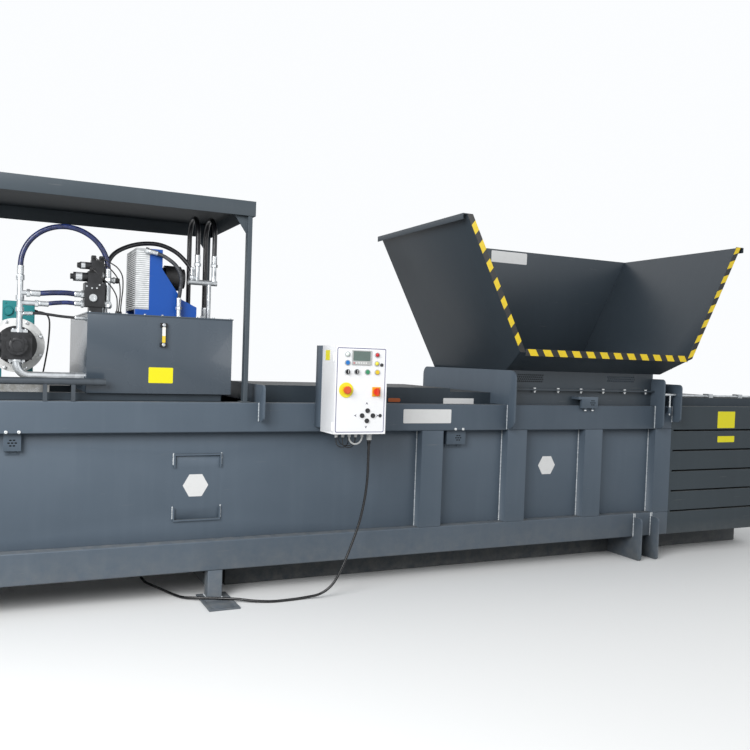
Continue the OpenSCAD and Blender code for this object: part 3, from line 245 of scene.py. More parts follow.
def effect_group(name, inputs):
    """A node group with named inputs, each a colour or a number."""
    group = bpy.data.node_groups.new(name, "ShaderNodeTree")
    for label, entry in inputs.items():
        kind = "NodeSocketColor" if isinstance(entry, str) else "NodeSocketFloat"
        socket = group.interface.new_socket(label, in_out="INPUT", socket_type=kind)
        socket.default_value = colour_or_number(entry)
    return group, group.nodes.new("NodeGroupInput").outputs


def put_out(group, given, colour, rougher, height):
    """Ends an effect group: its colour, its base roughness with what adds to it, and its height."""
    results = (colour, maths(group, "ADD", given["Base roughness"], rougher), height)
    for label, kind in (("Color", "Color"), ("Roughness", "Float"), ("Height", "Float")):
        group.interface.new_socket(label, in_out="OUTPUT", socket_type="NodeSocket" + kind)
    ending = group.nodes.new("NodeGroupOutput")
    for result, socket in zip(results, ending.inputs):
        group.links.new(result, socket)


def new_finish(name):
    """A new material, its node tree and its surface shader."""
    finish = bpy.data.materials.new(name)
    finish.use_nodes = True
    return finish, finish.node_tree, finish.node_tree.nodes["Principled BSDF"]


def effect_in(tree, surface, group, entries):
    """Puts an effect group into a material. Each entry is for it, or else for the surface."""
    effect = add(tree, "ShaderNodeGroup", node_tree=group)
    for label, entry in entries.items():
        label = label.replace("_", " ")
        node = effect if label in effect.inputs else surface
        node.inputs[label].default_value = colour_or_number(entry)
    return effect.outputs


def finish_from(name, group, relief=0.0005, **entries):
    """A material whose colour, roughness and relief come from a group with its own entries."""
    finish, tree, surface = new_finish(name)
    effect = effect_in(tree, surface, group, entries)
    bump = add(tree, "ShaderNodeBump", {"Height": effect["Height"], "Distance": relief})
    tree.links.new(effect["Color"], surface.inputs["Base Color"])
    tree.links.new(effect["Roughness"], surface.inputs["Roughness"])
    tree.links.new(bump.outputs["Normal"], surface.inputs["Normal"])
    return finish


# The sheath is smooth black rubber with faint moulding rings and floor dust on it.
sheath, given = effect_group("moulded_sheath", {
    "Sheath": "17181b", "Dust": "6d6a66", "Dusty": 0.3, "Rings per metre": 160.0,
    "Base roughness": 0.45})
v_along = part_of(sheath, add(sheath, "ShaderNodeUVMap", uv_map="along").outputs["UV"], "Y")
ring_wave = maths(sheath, "SINE", times(
    sheath, times(sheath, v_along, given["Rings per metre"]), 2 * math.pi))
patches = noise(sheath, place_in(sheath), 34.0, 3.0)
dusty = times(sheath, remap(sheath, patches, 0.45, 0.75), given["Dusty"])
put_out(sheath, given, blend(sheath, dusty, given["Sheath"], given["Dust"]),
        times(sheath, patches, 0.12), maths(sheath, "ADD", ring_wave, patches))
cable_sheath = finish_from("cable_sheath", sheath, 0.00004, Sheath="0d0e11", Dusty=0.03,
                           Base_roughness=0.22)

# Strain reliefs: ribbed rubber cones that hold the cable where it leaves each of its two glands.
cone = [(0, 16), (4, 16), (6, 14)]
for i in range(7):
    cone += [(8 + 5 * i, 14.5 - 0.6 * i), (11 + 5 * i, 14.2 - 0.6 * i), (11.6 + 5 * i, 11.6 - 0.2 * i)]
cone += [(44, 9.6), (45, 9.2)]
reliefs = piece("cable_strain_reliefs", "base", "black_plastic", cable_sheath,
                turning((3303, -241, 1091), downwards, cone, 24),
                turning((1890, 585, 249), downwards, cone, 24))
cable = laid_cord("power_lead", smooth_route([
    (3303, -241, 1089.7), (3303, -241, 1050), (3303, -241, 960), (3301, -241, 820), (3286, -241, 680),
    (3252, -241, 520), (3196, -241, 360), (3135, -240, 215), (3072, -232, 100),
    (2990, -214, 34), (2880, -198, 13), (2760, -205, 10), (2640, -200, 10),
    (2530, -160, 13), (2440, -115, 20), (2350, -68, 20), (2265, -30, 20),
    (2185, 10, 18), (2110, 75, 11.5), (2060, 180, 10.2), (2020, 300, 10.2), (1975, 420, 11.5),
    (1930, 510, 24), (1900, 565, 80), (1890, 585, 160), (1890, 585, 215), (1890, 585, 249.7)]),
    9, cable_sheath, skin_gap=0.1, sides=16)
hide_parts("power_cable")

# Painted steelwork: folded and welded plate, sprayed dark blue-grey without a primer line showing.
# The paint has a fine orange peel, faded clouds, thin scuffs and dust on what faces up or is low.
paint, given = effect_group("sprayed_paint", {
    "Paint": "4b5763", "Faded": "5a6672", "Dust": "8d8b86", "Dust height": 0.45,
    "Base roughness": 0.42, "Scuffs": 0.35})
place = place_in(paint)
clouds = noise(paint, place, 1.1, 5.0, 0.55)
streaks = noise(paint, stretched(paint, place, (9.0, 9.0, 0.7)), 1.6, 3.0)
peel = noise(paint, place, 420.0, 1.0)
scuff = noise(paint, stretched(paint, place, (3.0, 40.0, 46.0), (0.3, 0.9, 0.2)), 1.4, 6.0, 0.62)
fading = times(paint, remap(paint, clouds, 0.35, 0.72), 0.5)
fading = maths(paint, "ADD", fading, remap(paint, streaks, 0.5, 0.8, 0.0, 0.22))
scuffed = times(paint, remap(paint, scuff, 0.66, 0.72), given["Scuffs"])
low_dust = maths(paint, "SUBTRACT", 1.0, maths(
    paint, "DIVIDE", part_of(paint, place, "Z"), given["Dust height"]))
facing_up = part_of(paint, add(paint, "ShaderNodeNewGeometry").outputs["Normal"], "Z")
settled = maths(paint, "MAXIMUM", remap(paint, low_dust, 0.0, 1.0, 0.0, 0.5),
                remap(paint, facing_up, 0.75, 0.98, 0.0, 0.55))
dust_cloud = noise(paint, place, 13.0, 6.0, 0.68)
settled = times(paint, settled, remap(paint, dust_cloud, 0.3, 0.75, 0.15, 1.0))
tone = blend(paint, fading, given["Paint"], given["Faded"])
tone = blend(paint, times(paint, scuffed, 0.5), tone, given["Dust"])
dulled = maths(paint, "ADD", times(paint, clouds, 0.1), times(paint, settled, 0.4))
put_out(paint, given, blend(paint, settled, tone, given["Dust"]), dulled,
        maths(paint, "SUBTRACT", peel, scuffed))


def coat(finish, *nodes, eased=0.0):
    """Gives CAD nodes a finish, and rounds their edges as a press brake and paint leave them."""
    for name in nodes:
        mesh = cad[name].data
        mesh.materials.clear()
        mesh.materials.append(finish)
        mesh.shade_smooth()
        if eased:
            cad[name].modifiers.new("joined", "WELD").merge_threshold = 0.00002
            bevel = cad[name].modifiers.new("eased", "BEVEL")
            bevel.width = eased / 1000
            bevel.segments = 2
            bevel.limit_method = "ANGLE"
            bevel.angle_limit = math.radians(40)
            bevel.harden_normals = True
            bevel.use_clamp_overlap = True


def painted(name, colour, faded, roughness=0.42, dust_height=0.45, shine=0.35):
    """A thin coat of the machine's paint."""
    return finish_from(name, paint, 0.00006, Paint=colour, Faded=faded, Base_roughness=roughness,
                       Dust_height=dust_height, Specular_IOR_Level=shine)


frame_paint = painted("frame_paint", "4b5763", "5a6672")
low_paint = painted("low_paint", "2f3840", "3c464e", dust_height=0.3, shine=0.3)
# Chamber walls and bale door: a darker copy of the frame paint, as painted shade.
chamber_shade_paint = painted("chamber_shade_paint", "343d43", "40494f", dust_height=0.3, shine=0.3)
coat(frame_paint, "cylinder_mount")
coat(frame_paint, "side_beams", "side_plates", "transverse_plates", "feet", "front_brackets", eased=2.0)
coat(chamber_shade_paint, "chamber_walls", "bale_door")
coat(low_paint, "base_frame", "floor_plate", "chamber_roof", "ram_roof", "pack_frame")
coat(low_paint, "skids", eased=2.0)


# Weld beads: MIG runs at the edges of the lugs, ribs and foot plates, coloured near white as a
# painted highlight on them. Each run is a row of overlapping ripples.
def row_tree(name, numbers, finish_label):
    """A geometry tree with named inputs, and the points at its pitch along its lines."""
    tree = bpy.data.node_groups.new(name, "GeometryNodeTree")
    for way in ("INPUT", "OUTPUT"):
        tree.interface.new_socket("Geometry", in_out=way, socket_type="NodeSocketGeometry")
    for label, number in numbers.items():
        kind = "NodeSocketInt" if isinstance(number, int) else "NodeSocketFloat"
        tree.interface.new_socket(label, in_out="INPUT", socket_type=kind).default_value = number
    tree.interface.new_socket(finish_label, in_out="INPUT", socket_type="NodeSocketMaterial")
    given = tree.nodes.new("NodeGroupInput").outputs
    lines = add(tree, "GeometryNodeMeshToCurve", {"Mesh": given["Geometry"]}).outputs[0]
    return tree, given, add(tree, "GeometryNodeCurveToPoints", {
        "Curve": lines, "Length": given["Pitch"]}, mode="LENGTH").outputs


def vector_of(tree, x=0.0, y=0.0, z=0.0):
    """A vector from its three parts."""
    return add(tree, "ShaderNodeCombineXYZ", {"X": x, "Y": y, "Z": z}).outputs[0]


def set_out(tree, points, instance, rotation, finish, scale=(1.0, 1.0, 1.0)):
    """Ends a geometry tree: copies of a shape stand at the points, in one finish."""
    row = add(tree, "GeometryNodeInstanceOnPoints", {
        "Points": points["Points"], "Instance": instance, "Rotation": rotation, "Scale": scale})
    real = add(tree, "GeometryNodeRealizeInstances", {"Geometry": row.outputs[0]})
    dressed = add(tree, "GeometryNodeSetMaterial", {"Geometry": real.outputs[0], "Material": finish})
    tree.links.new(dressed.outputs[0], tree.nodes.new("NodeGroupOutput").inputs[0])


beads, given, steps = row_tree("weld_run", {"Pitch": 0.006, "Ripple size": 0.006, "Seed": 7}, "Metal")
ripple = add(beads, "GeometryNodeMeshIcoSphere", {"Radius": 1.0, "Subdivisions": 2})
swell = add(beads, "FunctionNodeRandomValue", {2: 0.75, 3: 1.25, "Seed": given["Seed"]},
            data_type="FLOAT")
size = times(beads, given["Ripple size"], swell.outputs[1])
set_out(beads, steps, ripple.outputs["Mesh"], steps["Rotation"], given["Metal"],
        vector_of(beads, size, size, size))


def grown(name, lines, tree, entries):
    """Grows a geometry node tree on lines drawn in millimetres and leaves a plain mesh."""
    corners, edges = [], []
    for line in lines:
        edges += [(len(corners) + i, len(corners) + i + 1) for i in range(len(line) - 1)]
        corners += [machine @ Vector(p) for p in line]
    mesh = bpy.data.meshes.new(name)
    mesh.from_pydata(corners, edges, [])
    shape = shown(name, mesh)
    grower = shape.modifiers.new("grown", "NODES")
    grower.node_group = tree
    for item in tree.interface.items_tree:
        if item.in_out == "INPUT" and item.name in entries:
            grower[item.identifier] = entries[item.name]
    depsgraph = bpy.context.evaluated_depsgraph_get()
    made = bpy.data.meshes.new_from_object(shape.evaluated_get(depsgraph))
    shape.modifiers.clear()
    shape.data = made
    made.name = name
    creased(made, 60)
    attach(shape, "base")
    return shape


lugs = ((2580, 1204, 1322), (4613, 1138, 1322), (6155, 1136, 1322), (6353, 1190, 1322),
        (5965, 199, 390), (6155, 199, 390))
runs = [(x + edge, -0.5, -0.5, low, high) for x, low, high in lugs for edge in (0, 15)]
runs += [(3857 + 771 * rib + edge, 84, 84, 398, 1123) for rib in range(4) for edge in (0, 183)]
runs += [(x, 2, 98, 10, 10) for x in (240, 340, 2260, 2360)]
runs += [(x, 83, 83, low, high) for x in (2028, 2352) for low, high in ((545, 620), (906, 978))]
# The near-white colour of the runs is a painted highlight.
weld_highlight_paint = finish_from("weld_highlight_paint", paint, 0.0002, Paint="b4bbc0", Faded="e6e8e9",
                         Base_roughness=0.3, Scuffs=0.8, Dust_height=0.01)
grown("weld_runs", [[(x, face + inward * first, low), (x, face + inward * last, high)]
                    for face, inward in ((0, 1), (1300, -1)) for x, first, last, low, high in runs],
      beads, {"Pitch": 0.0075, "Ripple size": 0.0052, "Seed": 7, "Metal": weld_highlight_paint})

# Hopper: thin sheet, welded at the corners and bolted to the channel at the neck flange. Its coat
# is darker and smoother than the frame's.
sheet_values = {"Paint": "323b43", "Faded": "3d464e", "Base_roughness": 0.34, "Dust_height": 0.01}
coat(finish_from("sheet_paint", paint, 0.00006, Specular_IOR_Level=0.35, **sheet_values),
     *(f"hopper_{side}_wall" for side in ("left", "right", "back", "front")), eased=1.2)

# Bright zinc: bolts, nuts and fittings, with a fine spangle and a little white bloom.
zinc, given = effect_group("zinc_plate", {
    "Metal": "c3c7ca", "Bloom": "8f9498", "Spangle": 60.0, "Base roughness": 0.28})
place = place_in(zinc)
spangle = add(zinc, "ShaderNodeTexVoronoi", {"Vector": place, "Scale": given["Spangle"]})
brushed = noise(zinc, stretched(zinc, place, (60.0, 60.0, 900.0)), 1.0)
bright = add(zinc, "ShaderNodeSeparateColor", {"Color": spangle.outputs["Color"]}).outputs[0]
share = maths(zinc, "ADD", times(zinc, bright, 0.35),
              remap(zinc, noise(zinc, place, 21.0, 5.0), 0.42, 0.75, 0.0, 0.6))
put_out(zinc, given, blend(zinc, share, given["Metal"], given["Bloom"]),
        times(zinc, share, 0.22), maths(zinc, "ADD", brushed, bright))


def plated(name, metal, bloom, spangle, roughness, metallic, relief=0.00005):
    """A zinc or steel skin."""
    return finish_from(name, zinc, relief, Metal=metal, Bloom=bloom, Spangle=spangle,
                       Base_roughness=roughness, Metallic=metallic)


bright_zinc = plated("bright_zinc", "e2e5e7", "a9aeb2", 90.0, 0.24, 0.8, relief=0.00004)
grey_steel = plated("grey_steel", "8b9095", "5f6468", 40.0, 0.36, 0.7)
white_zinc = plated("white_zinc", "e6e9ea", "c3c7ca", 90.0, 0.3, 0.25, relief=0.00004)
coat(bright_zinc, "clamp_screw")
coat(white_zinc, "flange_bolts")

# Hazard tape: 50 mm black vinyl tape with slanted yellow bars, stuck along the three front edges.
tape, given, marks = row_tree("slanted_bars", {"Pitch": 0.139, "Bar length": 0.080, "Width": 0.048,
                                               "Slant": 0.045, "Thickness": 0.0004}, "Vinyl")
bar = add(tape, "GeometryNodeMeshCube", {
    "Size": vector_of(tape, given["Bar length"], given["Width"], given["Thickness"]),
    "Vertices X": 5, "Vertices Y": 3})
spot_y = part_of(tape, add(tape, "GeometryNodeInputPosition").outputs[0], "Y")
lean = times(tape, maths(tape, "DIVIDE", spot_y, given["Width"]), given["Slant"])
leaning = add(tape, "GeometryNodeSetPosition", {"Geometry": bar.outputs["Mesh"],
                                                "Offset": vector_of(tape, x=lean)})
along_edge = add(tape, "FunctionNodeAlignRotationToVector", {"Vector": marks["Tangent"]}, axis="X")
facing_out = add(tape, "FunctionNodeAlignRotationToVector", {
    "Rotation": along_edge.outputs[0], "Vector": (0.0, -1.0, 0.0)}, axis="Z", pivot_axis="X")
set_out(tape, marks, leaning.outputs["Geometry"], facing_out.outputs[0], given["Vinyl"])


def plate(outline, back, thickness):
    """The rings of a thin upright plate: its outline is in x and z, and it faces the operator."""
    return [[(x, y, z) for x, z in outline] for y in (back, back - thickness)]


vinyl, given = effect_group("printed_vinyl", {
    "Ink": "e8c918", "Grime": "6b6455", "Grimy": 0.3, "Base roughness": 0.35})
place = place_in(vinyl)
smear = noise(vinyl, place, 26.0, 6.0, 0.7)
share = times(vinyl, remap(vinyl, smear, 0.5, 0.8), given["Grimy"])
put_out(vinyl, given, blend(vinyl, share, given["Ink"], given["Grime"]), share,
        noise(vinyl, place, 70.0))
tape_yellow = finish_from("tape_yellow", vinyl, 0.0002)
tape_black = finish_from("tape_black", vinyl, 0.0002, Ink="121314", Grimy=0.12)
lean_out = 590 / 1135  # how far a side wall leans out for each millimetre up
edge_rise = 0.8873  # how far up its edge goes for each millimetre along it
tape_face = -226.6


def wall_edge(low_x, side, z):
    """The x of a side wall's front edge, at a height."""
    return low_x + side * lean_out * (z - 1600)


def side_strip(low_x, side):
    """The outline of the tape on the front edge of a side wall."""
    low, high = (wall_edge(low_x, side, z) for z in (1743, 2734))
    return [(low, 1743), (low - side * 50, 1743), (high - side * 50, 2734), (high, 2734)]


def tape_line(low_x, side, first, last):
    """A line down the middle of a side strip, from one distance below the top to another."""
    return [(wall_edge(low_x, side, z) - side * 25.9, tape_face, z)
            for z in (2735 - first * edge_rise, 2735 - last * edge_rise)]


piece("tape_backing", "base", "black_plastic", tape_black, *(plate(outline, -226, 0.4) for outline in (
    side_strip(4628, -1), side_strip(6250, 1), [(4607, 1716), (6271, 1716), (6271, 1768), (4607, 1768)])))
for name, line, entries in (
        ("tape_bars_left", tape_line(4628, -1, 107, 1008), {"Pitch": 0.149, "Slant": -0.020}),
        ("tape_bars_right", tape_line(6250, 1, 30, 1066), {"Pitch": 0.1468, "Slant": -0.046}),
        ("tape_bars_front", [(4674, tape_face, 1742), (6212, tape_face, 1742)],
         {"Pitch": 0.1392, "Slant": -0.030, "Width": 0.050})):
    bars = grown(name, [line], tape, {
        "Bar length": 0.075, "Width": 0.044, "Thickness": 0.0005, "Vinyl": tape_yellow, **entries})
    for tip in bars.data.vertices:
        tip.co.z = min(tip.co.z, 2.7344)  # cut off level with the top of the wall


# Plates and stickers: bare vinyl and enamelled aluminium fields, riveted or stuck on.
def around(x, z, reach, angle):
    """A place in x and z, at a reach and an angle in degrees from a middle."""
    return x + reach * math.cos(math.radians(angle)), z + reach * math.sin(math.radians(angle))


def hexagon(x, z, reach):
    """The outline of a hexagon that stands on a flat side."""
    return [around(x, z, reach, 60 * k) for k in range(6)]


def rounded(x0, z0, x1, z1, r, steps=5):
    """The outline of a rectangle with rounded corners, in x and z."""
    return [around(x, z, r, first + 90 * k / steps)
            for x, z, first in ((x1 - r, z1 - r, 0), (x0 + r, z1 - r, 90), (x0 + r, z0 + r, 180),
                                (x1 - r, z0 + r, 270)) for k in range(steps + 1)]


label_white = finish_from("label_white", vinyl, 0.0002, Ink="dcdddd", Grimy=0.08)
label_yellow = finish_from("label_yellow", vinyl, 0.0002, Ink="e6dc10", Grimy=0.05)
label_orange = finish_from("label_orange", vinyl, 0.0002, Ink="b4571c", Grimy=0.3)
piece("white_fields", "base", "white_plastic", label_white, *(plate(*field, 0.8) for field in (
    (rounded(3692, 1183, 4102, 1288, 8), 0), (rounded(5200, 2613, 5608, 2721, 8), 1210),
    (rounded(4173, 1313, 4455, 1361, 4), 250), (hexagon(2180, 762, 86), 85),
    (hexagon(5080, 826, 85), 85))))
piece("yellow_fields", "base", "yellow_plastic", label_yellow, *(plate(*field, 0.8) for field in (
    (rounded(1850, 1446, 2007, 1548, 5), 70), (rounded(6912, 1130, 7130, 1281, 6), 0),
    (rounded(6921, 1000, 7133, 1056, 5), 0))))
piece("orange_tag", "base", "yellow_plastic", label_orange,
      plate(rounded(3684, 1327, 3789, 1356, 12), 250, 3))

# Canopy: folded sheet with a fascia all round, on four tube posts with gusset plates. Its underside
# has a darker paint, which is painted shade.
canopy_paint = painted("canopy_paint", "3b444b", "475057", roughness=0.4, dust_height=0.01)
underside_shade_paint = painted("underside_shade_paint", "20262b", "2a3136", roughness=0.5, dust_height=0.01, shine=0.3)
coat(canopy_paint, "canopy_roof", "canopy_posts", eased=1.2)
roof_sheet = cad["canopy_roof"].data
roof_sheet.materials.append(underside_shade_paint)
# Faces that point down take the darker paint, as painted shade.
for face in roof_sheet.polygons:
    face.material_index = int(face.normal.z < -0.9)


# Neck panels: painted outside, and near black inside, a painted shade that shows through the two
# perforated vents.
def finish_by_place(name, mask, *sides):
    """A material that changes from one effect to another; each has its group, entries and metal."""
    finish, tree, surface = new_finish(name)
    first, second = (effect_in(tree, surface, group, entries) for group, entries, _ in sides)
    share = mask(tree)
    rough = add(tree, "ShaderNodeMix", {0: share, 2: first["Roughness"],
                                        3: second["Roughness"]}).outputs[0]
    bump = add(tree, "ShaderNodeBump", {"Height": first["Height"], "Distance": 0.00006})
    for socket, result in (
            ("Base Color", blend(tree, share, first["Color"], second["Color"])),
            ("Roughness", rough), ("Normal", bump.outputs["Normal"]),
            ("Metallic", remap(tree, share, 0.0, 1.0, sides[0][2], sides[1][2]))):
        tree.links.new(result, surface.inputs[socket])
    return finish


def beyond(axis, edge, test="GREATER_THAN"):
    """A mask for what is on the far side of a plane, given in millimetres."""
    limit = edge / 1000 + machine.translation["XYZ".index(axis)]
    return lambda tree: maths(tree, test, part_of(tree, place_in(tree), axis), limit)


# The panels' inner side, behind the front plane, takes a near-black painted shade.
coat(finish_by_place("neck_paint_and_inner_shade", beyond("Y", 62), (paint, sheet_values, 0.0), (paint, {
    "Paint": "0c0e10", "Faded": "16181a", "Base_roughness": 0.5}, 0.0)), "neck_panels")

# Oil tank: a welded sheet box with a screwed lid, sprayed in the glossier coat of the power pack.
tank_values = {"Paint": "414b55", "Faded": "4c5660", "Base_roughness": 0.22, "Dust_height": 0.01,
               "Scuffs": 0.15}
coat(finish_from("tank_paint", paint, 0.00004, Coat_Weight=0.15, Specular_IOR_Level=0.4,
                 **tank_values), "oil_tank", eased=1.5)
coat(finish_by_place("tank_lid_finish", beyond("Z", 1887.4), (paint, tank_values, 0.0),
                     (zinc, {"Base_roughness": 0.22}, 0.85)), "tank_lid")


# Level gauge: a clear window over a white scale, yellow up to where the oil stands.
def front_parts(y, places, profile, sides):
    """Turned parts that point forwards from a plane, at places in x and z."""
    return [turning((x, y, z), forwards, profile, sides) for x, z in places]


coat(finish_from("gauge_black", vinyl, Ink="141416", Grimy=0.1), "level_gauge")
window = finish_by_place("gauge_window_finish", beyond("Z", 1755),
                         (vinyl, {"Ink": "e3c63a", "Grimy": 0.1}, 0.0),
                         (vinyl, {"Ink": "ecebe2", "Grimy": 0.1}, 0.0))
piece("gauge_window", "base", "white_plastic", window,
      plate(rounded(1927.5, 1711, 1947.5, 1812, 4), 52.5, 9.5))
piece("gauge_screws", "base", "zinc", bright_zinc, *front_parts(
    45, ((1937.5, 1697), (1937.5, 1826)), [(0, 11), (3, 11), (5, 8.5), (5, 5), (3, 5)], 20))

# Drip tray: folded galvanised sheet with a large spangle, streaked by old oil.
coat(plated("galvanised_sheet", "b9bbbb", "7c776c", 34.0, 0.22, 0.75), "drip_tray")

# Electric motor: cast and finned, with a terminal box on top, all in one green-blue enamel.
teal = finish_from("teal_enamel", paint, 0.0001, Paint="12757a", Faded="2b8b8c",
                   Base_roughness=0.33, Dust_height=0.01)
coat(teal, "pump_motor")
piece("terminal_box_lid", "base", "teal_paint", teal, plate(rounded(991, 1792, 1174, 1949, 10), 540, 3),
      *front_parts(537, [(1016, 1889)], [(0, 32), (12, 32), (15, 29), (15, 24), (12, 22)], 28),
      *front_parts(537, ((1002, 1938), (1163, 1938), (1163, 1803), (1002, 1803)),
                   [(0, 5), (4, 5), (5, 4)], 10))

# Castings of the pump set: the bell housing is bare aluminium, the gear pump is black iron.
cast, given = effect_group("cast_skin", {
    "Skin": "b9bbbb", "Pits": "7c7d7c", "Grain": 260.0, "Base roughness": 0.45})
place = place_in(cast)
sand = noise(cast, place, given["Grain"], 4.0, 0.7)
stain = noise(cast, place, 18.0, 4.0)
share = times(cast, remap(cast, stain, 0.4, 0.75, 0.1, 0.9), sand)
put_out(cast, given, blend(cast, share, given["Skin"], given["Pits"]),
        times(cast, share, 0.3), sand)
cast_alloy = finish_from("cast_alloy", cast, 0.0002, Skin="e4e5e4", Pits="9c9d9c", Metallic=0.15)
black_iron = finish_from("black_iron", cast, 0.0002, Skin="1b1c1e", Pits="34353a",
                         Base_roughness=0.38, Metallic=0.1)
coat(cast_alloy, "bell_housing")
coat(black_iron, "oil_pump", "valve_block")
coat(grey_steel, "drive_coupling")
pump_x, pump_z = 1065, 1663


def level(x, y, reach_x, reach_y, z):
    """The corners of a level rectangle about its middle."""
    return [(x + a * reach_x, y + b * reach_y, z) for a, b in ((-1, -1), (1, -1), (1, 1), (-1, 1))]


piece("pump_cover_and_screws", "base", "black_metal", black_iron,
      *front_parts(151, [(pump_x, pump_z)], [(0, 46), (2, 46), (4, 42), (4, 30), (2, 28)], 32),
      *front_parts(151, [around(pump_x, pump_z, 52, 60 * k + 15) for k in range(6)],
                   [(0, 8), (8, 8), (8, 4.5), (4, 4.5)], 12),
      *front_parts(190, [(pump_x + x, pump_z + z) for x in (-72, 72) for z in (-72, 62)],
                   [(0, 9), (9, 9), (9, 5), (4, 5)], 12))
flanges = []
for x, z, way in ((pump_x + 13, 1743, upwards), (pump_x, 1573, downwards)):
    top = z + 16 * way.z
    flanges.append([level(x, 230, 48, 22, z), level(x, 230, 48, 22, top)])
    flanges += [turning((x + side, 230, top), way, [(0, 7), (8, 7), (8, 4), (4, 4)], 12)
                for side in (-36, 36)]
piece("port_flanges", "base", "zinc", bright_zinc, *flanges)
piece("bell_bolts", "base", "zinc", bright_zinc, *front_parts(
    414, [around(pump_x, pump_z, 160, 45 * k + 22) for k in range(8)], [(0, 11), (9, 11), (10, 9)], 6))

# Steel pipework: plated risers and elbows with cutting-ring nuts, and plain grey rail pipes.
coat(finish_by_place("pipe_finish", beyond("Y", 60, "LESS_THAN"),
                     (zinc, {"Metal": "d3d7da", "Spangle": 25.0}, 0.75),
                     (zinc, {"Metal": "484f56", "Bloom": "353b41", "Spangle": 20.0,
                             "Base_roughness": 0.32}, 0.3)), "steel_pipes")

# Hydraulic hoses: steel-braided rubber with a wrapped skin. Each is crimped into a plated ferrule
# and screwed on with a hexagon nut at both ends.
hose_skin = finish_from("hose_skin", sheath, 0.00012, Sheath="17181d", Dust="3a3a3c", Dusty=0.25,
                        Rings_per_metre=240.0, Base_roughness=0.24, Coat_Weight=0.2)
# Three black hoses are drawn blue, with paler blue patches set as Dust: a painted sky reflection.
sky_reflection_skin = finish_from("sky_reflection_skin", sheath, 0.00012, Sheath="0f1a44", Dust="2a4088", Dusty=0.6,
                        Rings_per_metre=240.0, Base_roughness=0.22, Coat_Weight=0.3)
ribbed_skin = finish_from("ribbed_skin", sheath, 0.0012, Sheath="33363b", Dust="6f7072", Dusty=0.4,
                          Rings_per_metre=90.0, Base_roughness=0.35)


def upright_loop(start, end, spring):
    """A line that rises from one foot, crosses over in a half circle and goes down to another."""
    start, end = Vector(start), Vector(end)
    rise, fall = (Vector((foot.x, foot.y, spring)) for foot in (start, end))
    middle, reach = (rise + fall) / 2, (fall - rise) / 2
    return ([start.lerp(rise, k / 6) for k in range(6)]
            + [middle - reach * math.cos(a) + upwards * reach.length * math.sin(a)
               for a in (math.pi * k / 40 for k in range(41))]
            + [fall.lerp(end, k / 6) for k in range(1, 7)])


hose_lines = {
    "arch_hose": (17, sky_reflection_skin, upright_loop((1078, 230, 2105), (1604, 230, 2122), 2165)),
    "left_drop_hose": (17, hose_skin, upright_loop((2230, 420, 2287), (2230, 692, 1932), 2480)),
    "right_drop_hose": (17, hose_skin, upright_loop((2349, 420, 2287), (2349, 692, 1932), 2480)),
    "upper_line_hose": (17, sky_reflection_skin, smooth_route(
        [(1138.3, 230, 1993), (1160, 230, 1993), (1190, 230, 1994), (1270, 227, 2003),
         (1350, 231, 2007), (1410, 236, 2004), (1435, 236, 2004), (1456.7, 236, 2004)])),
    "lower_line_hose": (14, sky_reflection_skin, smooth_route(
        [(1188.3, 230, 1930), (1205, 230, 1930), (1230, 230, 1931), (1290, 229, 1940),
         (1350, 232, 1946), (1410, 236, 1944), (1435, 236, 1944), (1456.7, 236, 1944)])),
    "drain_hose": (9, hose_skin, smooth_route(
        [(1096, 230, 1862), (1200, 236, 1868), (1330, 240, 1856), (1462, 238, 1850)])),
    "cooler_hose": (13, ribbed_skin, smooth_route(
        [(1858, 211, 2317), (1895, 207, 2308), (1965, 200, 2283), (2038, 195, 2228),
         (2070, 193, 2150), (2066, 193, 2070), (2058, 193, 2010), (2058, 193, 1985),
         (2058, 193, 1960.3)])),
    "return_hose": (15, hose_skin, smooth_route(
        [(1600, 330, 2100.3), (1600, 330, 2125), (1600, 331, 2160), (1612, 342, 2225),
         (1660, 375, 2300), (1750, 420, 2358), (1860, 448, 2392), (1975, 455, 2394),
         (2082, 446, 2352), (2158, 430, 2280), (2190, 421, 2225), (2192, 420, 2205),
         (2192, 420, 2195.3)]))}


def hose_end(line, radius, crimp=58):
    """The crimped ferrule and the nut on the first end of a hose's line."""
    way = (line[1] - line[0]).normalized()
    grip = radius + 3.5
    ribs = [(0, grip - 1.5), (3, grip)]
    for k in range(5):
        s = 6 + k * (crimp - 14) / 5
        ribs += [(s, grip), (s + 1.5, grip - 1.6), (s + 4, grip - 1.6), (s + 5.5, grip)]
    ribs += [(crimp - 4, grip), (crimp, radius + 1)]
    nut = [(0, grip + 1), (2, grip + 4.5), (20, grip + 4.5), (22, grip + 1), (25, grip - 2)]
    return turning(line[0], way, ribs, 20), turning(line[0] - way * 24, way, nut, 6)


fittings = []
for name, (radius, skin, line) in hose_lines.items():
    laid_cord(name, line, radius, skin, skin_gap=0.15, sides=20)
    fittings += [*hose_end(line, radius), *hose_end(line[::-1], radius)]
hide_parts("hydraulic_hoses")
piece("hose_fittings", "base", "zinc", bright_zinc, *fittings)

